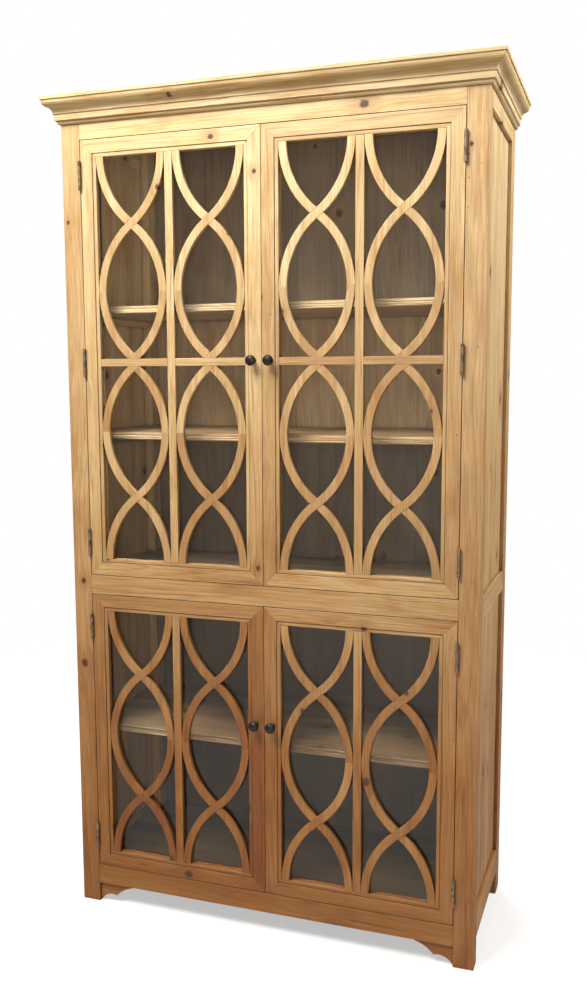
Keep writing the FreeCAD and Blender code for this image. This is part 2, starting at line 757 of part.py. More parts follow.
def door_knob(door, x, z):
    """Make a turned mushroom knob with the spindle that holds it in the stile."""
    body = doc.addObject("PartDesign::Body", f"{door}_knob_body")
    half = sketch_on(body, "XY_Plane", f"{door}_knob_half")
    draw_outline(half, [
        ("0", "knob_spindle_length"),
        ("0", "-knob_reach", "knob_crown_radius", 1),
        ("knob_radius", "-knob_reach + knob_rim_depth", "knob_rim_radius", 1),
        ("knob_radius - knob_rim_radius", "-knob_reach + knob_cap_depth"),
        ("knob_neck_radius", "-knob_reach + knob_neck_depth"),
        ("knob_neck_radius", "-knob_collar_height"),
        ("knob_rose_radius", "-knob_rose_height"),
        ("knob_rose_radius", "0"),
        ("knob_spindle_radius", "0"),
        ("knob_spindle_radius", "knob_spindle_length"),
    ])
    revolve(body, half)
    place(body, (x, FRONT, z))
    return node(body, f"{door}_knob")


def door_frame(door, left, foot, height, side, hinges, knob):
    """Make a door's two stiles and two rails, mitred, with its hinges and knob let in."""
    right, head = f"{left} + {DOOR_WIDTH}", f"{foot} + {height}"
    stile_left = frame_member(f"{door}_stile_left", height, (left, FRONT, head), 90)
    stile_right = frame_member(f"{door}_stile_right", height, (right, FRONT, foot), -90)
    hardware = hinges[f"door_leaf_{door}"] + hinges[f"door_screws_{door}"]
    by_side = {"left": stile_left, "right": stile_right}
    hung = by_side.pop(side)
    closing = by_side.popitem()[1]
    stiles = [
        cut(f"{door}_stile_hung", hung, hardware),
        cut(f"{door}_stile_closing", closing, [knob]),
    ]
    node(group(f"{door}_stile_pair", stiles), f"{door}_stiles")
    rails = [
        frame_member(f"{door}_rail_foot", DOOR_WIDTH, (left, FRONT, foot), 0),
        frame_member(f"{door}_rail_head", DOOR_WIDTH, (right, FRONT, head), 180),
    ]
    node(group(f"{door}_rail_pair", rails), f"{door}_rails")
    node(group(f"{door}_hinge_set", hardware), f"{door}_hinge_leaves")


def door_glazing(door, left, foot, height):
    """Make a door's pane and the four strips that hold it in the rebate from behind."""
    inset = "(frame_width - glass_margin)"
    pane = block(
        f"{door}_pane", (f"{left} + {inset}", f"{FRONT} + glass_seat", f"{foot} + {inset}"),
        (f"{DOOR_WIDTH} - 2 * {inset}", "glass_thickness", f"{height} - 2 * {inset}"))
    node(pane, f"{door}_glass")
    edge = "(frame_width - rebate_width)"
    behind = f"{FRONT} + glass_seat + glass_thickness"
    depth = "door_thickness - glass_seat - glass_thickness"
    strips = []
    for number, start in enumerate((f"{left} + {edge}", f"{left} + {DOOR_WIDTH} - frame_width")):
        strips.append(eased_board(
            f"{door}_strip_upright_{number}", (start, behind, f"{foot} + {edge}"),
            ("rebate_width", depth, f"{height} - 2 * {edge}")))
    for number, start in enumerate((f"{foot} + {edge}", f"{foot} + {height} - frame_width")):
        strips.append(eased_board(
            f"{door}_strip_level_{number}", (f"{left} + frame_width", behind, start),
            (f"{DOOR_WIDTH} - 2 * frame_width", depth, "rebate_width")))
    node(group(f"{door}_strips", strips), f"{door}_glazing_strips")


def door_fretwork(door, left, foot, height, tall, slats):
    """Make a door's fretwork: the muntin, the crossbar of a tall door, and the waves of slats."""
    face = f"{FRONT} + lip_drop"
    sill = f"({foot} + frame_width)"
    columns = [f"({left} + frame_width)", f"({left} + frame_width + {COLUMN} + muntin_width)"]
    pieces = [eased_board(
        f"{door}_muntin", (f"{columns[0]} + {COLUMN}", face, sill),
        ("muntin_width", "slat_thickness", f"{height} - 2 * frame_width"))]
    crossings = [("whole", f"{sill} + wave_quarter")]
    if tall:
        crossings += [
            ("lower", f"{sill} + 3 * wave_quarter"),
            ("upper", f"{sill} + 3 * wave_quarter + bar_height"),
            ("whole", f"{sill} + 5 * wave_quarter + bar_height"),
        ]
    else:
        crossings.append(("whole", f"{sill} + 3 * wave_quarter"))
    for number, column in enumerate(columns):
        if tall:
            pieces.append(eased_board(
                f"{door}_crossbar_{number}", (column, face, f"{sill} + 3 * wave_quarter"),
                (COLUMN, "slat_thickness", "bar_height")))
        for level, (part, height_of_crossing) in enumerate(crossings):
            centre = (f"{column} + {COLUMN} / 2", face, height_of_crossing)
            for slat in slats[part]:
                name = f"{door}_{slat.Name}_{number}_{level}"
                pieces.append(link(name, slat, centre))
    node(group(f"{door}_slats_and_bars", pieces), f"{door}_fretwork")


def doors(hinges):
    """Make the four doors."""
    slats = slat_masters()
    zones = {
        "lower": (BOTTOM_RAIL_TOP, LOWER_ZONE, "knob_rise_lower"),
        "upper": (MIDDLE_RAIL_TOP, UPPER_ZONE, "knob_rise_upper"),
    }
    for zone, (bay_foot, bay_height, knob_rise) in zones.items():
        foot = f"({bay_foot} + door_gap)"
        height = f"({bay_height} - 2 * door_gap)"
        for side, sign in SIDES.items():
            door = f"door_{zone}_{side}"
            left = f"(-{DOOR_WIDTH} - door_gap / 2)" if sign < 0 else "(door_gap / 2)"
            knob_x = f"{sign} * (door_gap / 2 + frame_width / 2)"
            knob = door_knob(door, knob_x, f"{foot} + {height} / 2 + {knob_rise}")
            door_frame(door, left, foot, height, side, hinges, knob)
            door_glazing(door, left, foot, height)
            door_fretwork(door, left, foot, height, zone == "upper", slats)


def build():
    """Build the whole cabinet."""
    hinges = placed_hinges(hinge_masters())
    blanks = carcass_blanks()
    grooves = {side: side_panels(side, sign) for side, sign in SIDES.items()}
    posts(blanks, hinges, grooves, back_panel())
    for side, sign in SIDES.items():
        side_rails(side, sign, grooves[side])
    front_rails(ball_catches())
    decks_and_shelves(blanks)
    door_stops()
    cornice_and_top()
    corner_brackets()
    leaves = hinges["frame_leaf_left"] + hinges["frame_leaf_right"]
    screws = hinges["frame_screws_left"] + hinges["frame_screws_right"]
    node(group("frame_leaf_set", leaves), "hinge_leaves_frame")
    node(group("frame_screw_set_all", screws), "hinge_screws_frame")
    node(group("hinge_pin_set", hinges["pins"]), "hinge_pins")
    doors(hinges)
    doc.recompute()


def export():
    """Check every object and every sub-part, then write one STEP file for each sub-part."""
    failed = [item.Label for item in doc.Objects if {"Invalid", "Error"} & set(item.State)]
    if failed:
        raise RuntimeError(f"failed objects: {failed}")
    for item in nodes:
        if item.Shape.isNull() or not item.Shape.isValid():
            raise RuntimeError(f"{item.Label} has no valid shape")
    os.makedirs("parts", exist_ok=True)
    for item in nodes:
        item.Shape.exportStep(f"parts/{item.Label}.step")
        print(f"{item.Label}: {len(item.Shape.Solids)} solids, {item.Shape.Volume / 1000:.1f} cm3")
    print(f"{len(nodes)} sub-parts")


build()
export()
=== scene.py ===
import json
import logging
import math
import random
from contextlib import contextmanager
from dataclasses import dataclass, field
from enum import Enum
from typing import Callable, Iterator, Sequence

import bmesh
import bpy
import numpy as np
from mathutils import Matrix, Vector

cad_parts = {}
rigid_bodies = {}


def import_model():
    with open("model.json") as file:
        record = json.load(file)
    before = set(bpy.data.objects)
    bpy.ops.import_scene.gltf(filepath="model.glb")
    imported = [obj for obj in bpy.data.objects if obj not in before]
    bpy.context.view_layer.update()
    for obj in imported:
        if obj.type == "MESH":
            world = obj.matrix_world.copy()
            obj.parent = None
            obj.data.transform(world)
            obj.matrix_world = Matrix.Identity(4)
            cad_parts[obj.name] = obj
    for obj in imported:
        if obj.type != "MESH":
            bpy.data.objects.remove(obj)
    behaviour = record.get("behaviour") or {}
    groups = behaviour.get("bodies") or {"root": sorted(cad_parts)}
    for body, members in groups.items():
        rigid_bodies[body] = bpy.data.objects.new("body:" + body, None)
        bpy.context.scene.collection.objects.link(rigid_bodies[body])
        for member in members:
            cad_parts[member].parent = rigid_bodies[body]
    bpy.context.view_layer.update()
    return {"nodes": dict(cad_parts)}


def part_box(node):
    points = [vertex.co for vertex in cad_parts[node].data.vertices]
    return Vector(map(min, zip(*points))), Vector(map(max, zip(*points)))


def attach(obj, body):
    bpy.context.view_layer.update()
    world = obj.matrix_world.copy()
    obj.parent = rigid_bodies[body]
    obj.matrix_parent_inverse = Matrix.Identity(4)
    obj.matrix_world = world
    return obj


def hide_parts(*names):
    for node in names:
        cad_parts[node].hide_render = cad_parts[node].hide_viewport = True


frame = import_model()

Colour = tuple[float, float, float]
Point = tuple[float, float, float]
Piece = bpy.types.Object
Socket = bpy.types.NodeSocket

log = logging.getLogger("glazed_cabinet")


class Grain(Enum):
    """The axis that a board's fibres run along."""

    ACROSS = 0
    DEEP = 1
    UPRIGHT = 2


class Bench:
    """The few bench moves that every piece is made with."""

    ARRIS_STEPS = 3
    ARRIS_PROFILE = 0.55
    FLATNESS_WEIGHT = 60

    @staticmethod
    def clear() -> None:
        """Leave edit mode and let go of every object."""
        if bpy.context.mode != "OBJECT":
            bpy.ops.object.mode_set(mode="OBJECT")
        bpy.ops.object.select_all(action="DESELECT")
        bpy.context.view_layer.objects.active = None

    @staticmethod
    def take(*objects: Piece) -> None:
        """Select some objects alone, the first of them active.

        Args:
            objects: The objects to select.
        """
        Bench.clear()
        for thing in objects:
            thing.select_set(True)
        bpy.context.view_layer.objects.active = objects[0]

    @staticmethod
    @contextmanager
    def editing(thing: Piece, pick: str = "FACE") -> Iterator[None]:
        """Work on one object in edit mode with everything selected.

        Args:
            thing: The object to work on.
            pick: VERT, EDGE or FACE.
        """
        Bench.take(thing)
        bpy.ops.object.mode_set(mode="EDIT")
        bpy.ops.mesh.select_mode(type=pick)
        bpy.ops.mesh.select_all(action="SELECT")
        yield
        bpy.ops.object.mode_set(mode="OBJECT")

    @staticmethod
    def pick_faces(thing: Piece, test: Callable[[bmesh.types.BMFace], bool]) -> None:
        """Select the faces of the mesh being edited that pass a test.

        Args:
            thing: The object in edit mode.
            test: Says whether one face is wanted, by its place or normal.
        """
        shape = bmesh.from_edit_mesh(thing.data)
        bpy.ops.mesh.select_all(action="DESELECT")
        for face in shape.faces:
            face.select_set(test(face))
        shape.select_flush_mode()
        bmesh.update_edit_mesh(thing.data)

    @staticmethod
    def modify(thing: Piece, kind: str, **settings: object) -> None:
        """Add a modifier with some settings and apply it at once.

        Args:
            thing: The object to change.
            kind: The modifier's type.
            settings: Its properties by name.
        """
        Bench.take(thing)
        modifier = thing.modifiers.new(kind.title(), kind)
        for name, setting in settings.items():
            setattr(modifier, name, setting)
        bpy.ops.object.modifier_apply(modifier=modifier.name)

    @staticmethod
    def smooth(thing: Piece, angle: float = 50.0) -> None:
        """Shade round what turns by less than an angle, and keep the broad faces flat.

        Args:
            thing: The object to shade.
            angle: The sharpest turn that still looks round, in degrees.
        """
        Bench.take(thing)
        bpy.ops.object.shade_smooth_by_angle(angle=math.radians(angle))
        Bench.modify(thing, "WEIGHTED_NORMAL", keep_sharp=True, weight=Bench.FLATNESS_WEIGHT)

    @staticmethod
    def settle(thing: Piece) -> None:
        """Move an object's place, turn and size into its mesh."""
        Bench.take(thing)
        bpy.ops.object.transform_apply(location=True, rotation=True, scale=True)

    @staticmethod
    def join(pieces: Sequence[Piece], name: str) -> Piece:
        """Join pieces as one object.

        Args:
            pieces: The objects to join.
            name: The name of the result.

        Returns:
            The joined object.
        """
        Bench.take(*pieces)
        if len(pieces) > 1:
            bpy.ops.object.join()
        pieces[0].name = name
        pieces[0].data.name = name
        return pieces[0]

    @staticmethod
    def copy(thing: Piece, name: str, shift: Point = (0.0, 0.0, 0.0)) -> Piece:
        """Copy an object with a mesh of its own, set down a little way off.

        Args:
            thing: The object to copy.
            name: The copy's name.
            shift: How far the copy stands from the original.

        Returns:
            The copy.
        """
        twin = bpy.data.objects.new(name, thing.data.copy())
        bpy.context.scene.collection.objects.link(twin)
        twin.location = shift
        Bench.settle(twin)
        return twin

    @staticmethod
    def block(name: str, low: Sequence[float], high: Sequence[float]) -> Piece:
        """Start a board from a cube at its size and place.

        Args:
            name: The object's name.
            low: Its lowest corner.
            high: Its highest corner.

        Returns:
            The squared board.
        """
        Bench.clear()
        middle = [(a + b) / 2 for a, b in zip(low, high)]
        size = [b - a for a, b in zip(low, high)]
        bpy.ops.mesh.primitive_cube_add(size=1, location=middle, scale=size)
        board = bpy.context.active_object
        board.name = name
        Bench.settle(board)
        return board

    @staticmethod
    def eased(name: str, low: Sequence[float], high: Sequence[float], ease: float) -> Piece:
        """Make a board whose arrises are rounded over.

        Args:
            name: The object's name.
            low: Its lowest corner.
            high: Its highest corner.
            ease: The radius of its arrises.

        Returns:
            The board.
        """
        board = Bench.block(name, low, high)
        with Bench.editing(board, "EDGE"):
            bpy.ops.mesh.bevel(offset=ease, segments=Bench.ARRIS_STEPS, affect="EDGES",
                               profile=Bench.ARRIS_PROFILE)
        return board


class Timber:
    """Marks each board with the part of the tree that it was sawn from, in metres."""

    ASIDE = 0.05
    FROM_PITH = (0.03, 0.11)
    UP_THE_TREE = 40.0
    USUAL_TONE = 0.3

    def __init__(self, seed: int) -> None:
        """Start with a seed, so that every run saws the same boards."""
        self.luck = random.Random(seed)

    def mark(self, board: Piece, grain: Grain | None = None, tone: float | None = None) -> Piece:
        """Write a board's own grain coordinates and its tone on its mesh.

        Args:
            board: The board, one solid.
            grain: The way its fibres run, or None for its longest side.
            tone: From 0, cream, to 1, reddish brown, or None to leave it to luck.

        Returns:
            The same board.
        """
        mesh = board.data
        places = np.empty(len(mesh.vertices) * 3)
        mesh.vertices.foreach_get("co", places)
        places = places.reshape(-1, 3)
        low, high = places.min(0), places.max(0)
        size = high - low
        along = grain.value if grain else int(size.argmax())
        through, across = sorted((axis for axis in range(3) if axis != along), key=lambda a: size[a])
        middle = (low + high) / 2
        start = np.array([self.luck.uniform(-self.ASIDE, self.ASIDE) - middle[across],
                          self.luck.uniform(*self.FROM_PITH) - middle[through],
                          self.luck.uniform(0.0, self.UP_THE_TREE)])
        plank = places[:, [across, through, along]] + start
        self._write(mesh, "plank", "FLOAT_VECTOR", "vector", plank.ravel())
        shade = self.luck.triangular(0.0, 1.0, self.USUAL_TONE) if tone is None else tone
        self._write(mesh, "tone", "FLOAT", "value", np.full(len(places), shade))
        return board

    @staticmethod
    def _write(mesh: bpy.types.Mesh, name: str, kind: str, field_name: str, numbers: np.ndarray) -> None:
        """Store one point attribute."""
        layer = mesh.attributes.get(name) or mesh.attributes.new(name, kind, "POINT")
        layer.data.foreach_set(field_name, numbers.astype(np.float32))


class NodeSheet:
    """A node tree that is written one node at a time."""

    def __init__(self, tree: bpy.types.NodeTree) -> None:
        """Start on an empty tree."""
        self.tree = tree

    def feed(self, node: bpy.types.Node, inputs: dict) -> None:
        """Give a node its inputs.

        Args:
            node: The node.
            inputs: Sockets or constants by input name or number.
        """
        for key, given in inputs.items():
            if isinstance(given, Socket):
                self.tree.links.new(given, node.inputs[key])
            else:
                node.inputs[key].default_value = given

    def node(self, kind: str, inputs: dict | None = None, **settings: object) -> bpy.types.Node:
        """Add a node.

        Args:
            kind: The node's type.
            inputs: Sockets or constants by input name or number.
            settings: The node's own properties.

        Returns:
            The node.
        """
        made = self.tree.nodes.new(kind)
        for name, setting in settings.items():
            setattr(made, name, setting)
        self.feed(made, inputs or {})
        return made

    def place(self) -> Socket:
        """Read the object's own coordinates."""
        return self.node("ShaderNodeTexCoord").outputs["Object"]

    def math(self, operation: str, *given: object) -> Socket:
        """Work out one number from others."""
        return self.node("ShaderNodeMath", dict(enumerate(given)), operation=operation).outputs[0]

    def times(self, first: object, second: object) -> Socket:
        """Multiply two numbers."""
        return self.math("MULTIPLY", first, second)

    def vector(self, operation: str, *given: object) -> Socket:
        """Work out one vector from others."""
        made = self.node("ShaderNodeVectorMath", dict(enumerate(given)), operation=operation)
        return made.outputs["Value" if operation in ("LENGTH", "DOT_PRODUCT") else "Vector"]

    def scaled(self, vector: object, factors: Point) -> Socket:
        """Stretch a vector along each axis."""
        return self.vector("MULTIPLY", vector, factors)

    def parts(self, vector: Socket) -> Sequence[Socket]:
        """Split a vector into its three numbers."""
        return self.node("ShaderNodeSeparateXYZ", {0: vector}).outputs

    def whole(self, x: object, y: object, z: object) -> Socket:
        """Make a vector of three numbers."""
        return self.node("ShaderNodeCombineXYZ", {0: x, 1: y, 2: z}).outputs[0]

    def spread(self, given: object, low: float, high: float, to_low: float = 0.0,
               to_high: float = 1.0) -> Socket:
        """Ease a number from one span into another, held at both ends."""
        inputs = {0: given, 1: low, 2: high, 3: to_low, 4: to_high}
        return self.node("ShaderNodeMapRange", inputs, interpolation_type="SMOOTHSTEP").outputs[0]

    def noise(self, vector: object, scale: float, detail: float = 2.0,
              roughness: float = 0.5) -> Socket:
        """Sample soft noise as one number."""
        inputs = {"Vector": vector, "Scale": scale, "Detail": detail, "Roughness": roughness}
        return self.node("ShaderNodeTexNoise", inputs).outputs[0]

    def blend(self, share: object, first: object, second: object, kind: str = "MIX") -> Socket:
        """Blend two colours by a share of the second.

        Args:
            share: How much of the second colour shows.
            first: The colour at a share of 0.
            second: The colour at a share of 1.
            kind: The way they are blended.

        Returns:
            The blended colour.
        """
        made = self.node("ShaderNodeMix", {0: share}, data_type="RGBA", blend_type=kind)
        for index, given in ((6, first), (7, second)):
            self.feed(made, {index: given if isinstance(given, Socket) else (*given, 1.0)})
        return made.outputs[2]

    def tinted(self, colour: object, tint: object) -> Socket:
        """Multiply a colour by another."""
        return self.blend(1.0, colour, tint, "MULTIPLY")

    def bump(self, height: object, strength: float, distance: float) -> Socket:
        """Turn a height into a bent normal."""
        inputs = {"Height": height, "Strength": strength, "Distance": distance}
        return self.node("ShaderNodeBump", inputs).outputs[0]

    @staticmethod
    def of_material(name: str) -> tuple[bpy.types.Material, "NodeSheet", bpy.types.Node]:
        """Start a material.

        Args:
            name: Its name.

        Returns:
            The material, the sheet of its nodes, and its shader.
        """
        made = bpy.data.materials.new(name)
        made.use_nodes = True
        return made, NodeSheet(made.node_tree), made.node_tree.nodes["Principled BSDF"]


@dataclass(frozen=True)
class Scatter:
    """How round marks are strewn over a board, in metres.

    The cell is how far apart they may lie, across and along; the radii are the smallest and the
    largest; and oval is how much longer than wide each mark is.
    """

    cell: tuple[float, float]
    radii: tuple[float, float]
    oval: float


class Effects:
    """Surface effects that several finishes share, each a node group made once."""

    KNOTS = Scatter(cell=(0.075, 0.34), radii=(0.0045, 0.0115), oval=1.3)
    PITS = Scatter(cell=(0.028, 0.055), radii=(0.0006, 0.0016), oval=1.8)
    DRIFT_SCALE = (5.0, 5.0, 1.1)
    DRIFT_REACH = (0.045, 0.05, 0.0)
    FAINT_SCALE = (14.0, 14.0, 1.6)
    FINE_SCALE = 60.0
    STREAK_SCALE = (0.35, 0.35, 0.6)
    FIBRE_SCALE = (7.0, 7.0, 9.0)
    GLAZE_SCALE = (16.0, 16.0, 4.5)
    VEIN_SCALE = (3.0, 3.0, 1.3)
    RAGGED_SCALE = 160.0
    _made: dict[str, bpy.types.NodeTree] = {}

    @classmethod
    def group(cls, name: str, inputs: dict[str, float | None], outputs: Sequence[str],
              fill: Callable[[NodeSheet, Sequence], dict]) -> bpy.types.NodeTree:
        """Make a group the first time that it is asked for.

        Args:
            name: The group's name.
            inputs: Each number's usual value by name, or None for a vector.
            outputs: The names of the numbers that it gives.
            fill: Writes the group's nodes and returns its outputs by name.

        Returns:
            The group.
        """
        if name not in cls._made:
            tree = bpy.data.node_groups.new(name, "ShaderNodeTree")
            for label, usual in inputs.items():
                kind = "NodeSocketVector" if usual is None else "NodeSocketFloat"
                socket = tree.interface.new_socket(label, in_out="INPUT", socket_type=kind)
                if usual is not None:
                    socket.default_value = usual
            for label in outputs:
                tree.interface.new_socket(label, in_out="OUTPUT", socket_type="NodeSocketFloat")
            sheet = NodeSheet(tree)
            given = sheet.node("NodeGroupInput").outputs
            sheet.feed(sheet.node("NodeGroupOutput"), fill(sheet, given))
            cls._made[name] = tree
        return cls._made[name]

    @classmethod
    def pine_figure(cls) -> bpy.types.NodeTree:
        """Draw growth rings, knots, fibres, streaks and pits of a softwood board.

        Returns:
            The group.
        """
        return cls.group(
            "pine_figure", {"Plank": None, "Ring Spacing": 0.005, "Knots": 0.3, "Pits": 0.1},
            ("Rings", "Knot", "Halo", "Streak", "Fibre", "Glaze", "Vein", "Pit", "Height"),
            cls._fill_pine_figure)

    @staticmethod
    def _scattered(sheet: NodeSheet, plank: Socket, chance: object, marks: Scatter) -> tuple:
        """Scatter round marks over the board's face.

        Args:
            sheet: The tree being written.
            plank: The board's grain coordinates.
            chance: The share of places that get one.
            marks: How the marks are strewn.

        Returns:
            The offset from the nearest mark, the distance in radii, and whether it is there.
        """
        x, _, z = sheet.parts(plank)
        wide, tall = marks.cell
        spot = sheet.whole(sheet.math("DIVIDE", x, wide), sheet.math("DIVIDE", z, tall), 0.0)
        cells = sheet.node("ShaderNodeTexVoronoi", {"Vector": spot, "Scale": 1.0, "Randomness": 0.85},
                           voronoi_dimensions="2D")
        away = sheet.vector("SUBTRACT", spot, cells.outputs["Position"])
        away = sheet.scaled(away, (wide, tall / marks.oval, 0.0))
        luck, size, _ = sheet.parts(cells.outputs["Color"])
        radius = sheet.spread(size, 0.0, 1.0, *marks.radii)
        there = sheet.math("LESS_THAN", luck, chance)
        return away, sheet.math("DIVIDE", sheet.vector("LENGTH", away), radius), there

    @staticmethod
    def _fill_pine_figure(sheet: NodeSheet, given: Sequence) -> dict:
        """Write the nodes of the pine figure.

        Args:
            sheet: The tree being written.
            given: The group's inputs.

        Returns:
            Its outputs by name.
        """
        plank = given["Plank"]
        slow = sheet.scaled(plank, Effects.DRIFT_SCALE)
        drift = sheet.node("ShaderNodeTexNoise", {"Vector": slow, "Scale": 1.0, "Detail": 2.0})
        drift = sheet.vector("SUBTRACT", drift.outputs["Color"], (0.5, 0.5, 0.5))
        bent = sheet.vector("ADD", plank, sheet.scaled(drift, Effects.DRIFT_REACH))
        away, reach, there = Effects._scattered(sheet, plank, given["Knots"], Effects.KNOTS)
        ragged = sheet.math("MULTIPLY_ADD", sheet.noise(plank, Effects.RAGGED_SCALE, 2.0), 0.9, -0.45)
        reach = sheet.math("ADD", reach, ragged)
        knot = sheet.times(sheet.spread(reach, 1.2, 0.6), there)
        pull = sheet.times(sheet.spread(reach, 5.0, 0.6), there)
        aside = sheet.times(sheet.parts(away)[0], sheet.times(pull, 0.8))
        x, y, z = sheet.parts(bent)
        x = sheet.math("SUBTRACT", x, aside)
        pith = sheet.vector("LENGTH", sheet.whole(x, y, 0.0))
        rings = sheet.math("FRACT", sheet.math("DIVIDE", pith, given["Ring Spacing"]))
        late = sheet.times(sheet.math("POWER", rings, 1.8), sheet.spread(rings, 1.0, 0.85))
        faint = sheet.noise(sheet.scaled(plank, Effects.FAINT_SCALE), 1.0, 2.0)
        late = sheet.times(late, sheet.spread(faint, 0.32, 0.62, 0.25, 1.0))
        fine = sheet.whole(sheet.times(x, Effects.FINE_SCALE), sheet.times(y, Effects.FINE_SCALE), z)
        streak = sheet.noise(sheet.scaled(fine, Effects.STREAK_SCALE), 1.0, 3.0, 0.6)
        fibre = sheet.noise(sheet.scaled(fine, Effects.FIBRE_SCALE), 1.0, 2.0)
        glaze = sheet.noise(sheet.scaled(plank, Effects.GLAZE_SCALE), 1.0, 4.0, 0.62)
        vein = sheet.noise(sheet.scaled(fine, Effects.VEIN_SCALE), 1.0, 2.0, 0.6)
        _, pit_reach, pit_there = Effects._scattered(sheet, plank, given["Pits"], Effects.PITS)
        pit = sheet.times(sheet.spread(pit_reach, 1.0, 0.5), pit_there)
        height = sheet.math("SUBTRACT", sheet.times(fibre, 0.5), pit)
        for sunk, depth in ((late, 0.25), (knot, 0.3)):
            height = sheet.math("SUBTRACT", height, sheet.times(sunk, depth))
        return {"Rings": late, "Knot": knot, "Halo": pull, "Streak": sheet.spread(streak, 0.3, 0.7),
                "Fibre": fibre, "Glaze": sheet.spread(glaze, 0.46, 0.70),
                "Vein": sheet.spread(vein, 0.56, 0.74), "Pit": pit, "Height": height}

    @classmethod
    def edge_wear(cls) -> bpy.types.NodeTree:
        """Arrises rubbed pale, and an occlusion mask of corners and quirks for painted shade with some
        grime.
        """
        return cls.group("edge_wear", {"Radius": 0.0015, "Hollow Reach": 0.012}, ("Rubbed", "Hollow"),
                         cls._fill_wear_and_hollow_shade)

    @staticmethod
    def _fill_wear_and_hollow_shade(sheet: NodeSheet, given: Sequence) -> dict:
        """Write the nodes of the edge wear and of the hollow mask for painted shade.

        Args:
            sheet: The tree being written.
            given: The group's inputs.

        Returns:
            Its outputs by name.
        """
        place = sheet.place()
        rounded = sheet.node("ShaderNodeBevel", {"Radius": given["Radius"]}, samples=4).outputs[0]
        flat = sheet.node("ShaderNodeNewGeometry").outputs["Normal"]
        turn = sheet.spread(sheet.vector("DOT_PRODUCT", rounded, flat), 0.995, 0.88)
        patchy = sheet.spread(sheet.noise(place, 24.0, 3.0, 0.6), 0.36, 0.62)
        rubbed = sheet.times(turn, sheet.math("MULTIPLY_ADD", patchy, 0.75, 0.25))
        # Occlusion marks corners and quirks: the mask for painted shade, with some grime.
        shut = sheet.node("ShaderNodeAmbientOcclusion", {"Distance": given["Hollow Reach"]}, samples=4)
        return {"Rubbed": rubbed, "Hollow": sheet.spread(shut.outputs["AO"], 0.85, 0.3)}

    @classmethod
    def foot_age(cls) -> bpy.types.NodeTree:
        """How far down the cabinet a point is, for painted shade that makes the wood darker and warmer
        towards the floor.
        """
        return cls.group("foot_age", {"Top": 2.2, "Foot": 0.2}, ("Age",), cls._fill_foot_shade)

    @staticmethod
    def _fill_foot_shade(sheet: NodeSheet, given: Sequence) -> dict:
        """Write the nodes of the painted foot shade.

        Args:
            sheet: The tree being written.
            given: The group's inputs.

        Returns:
            Its output by name.
        """
        place = sheet.place()
        wander = sheet.math("MULTIPLY_ADD", sheet.noise(place, 2.6, 3.0), 1.3, -0.65)
        height = sheet.math("ADD", sheet.parts(place)[2], wander)
        shade_share = sheet.node("ShaderNodeMapRange", {0: height, 1: given["Top"], 2: given["Foot"]})
        return {"Age": shade_share.outputs[0]}


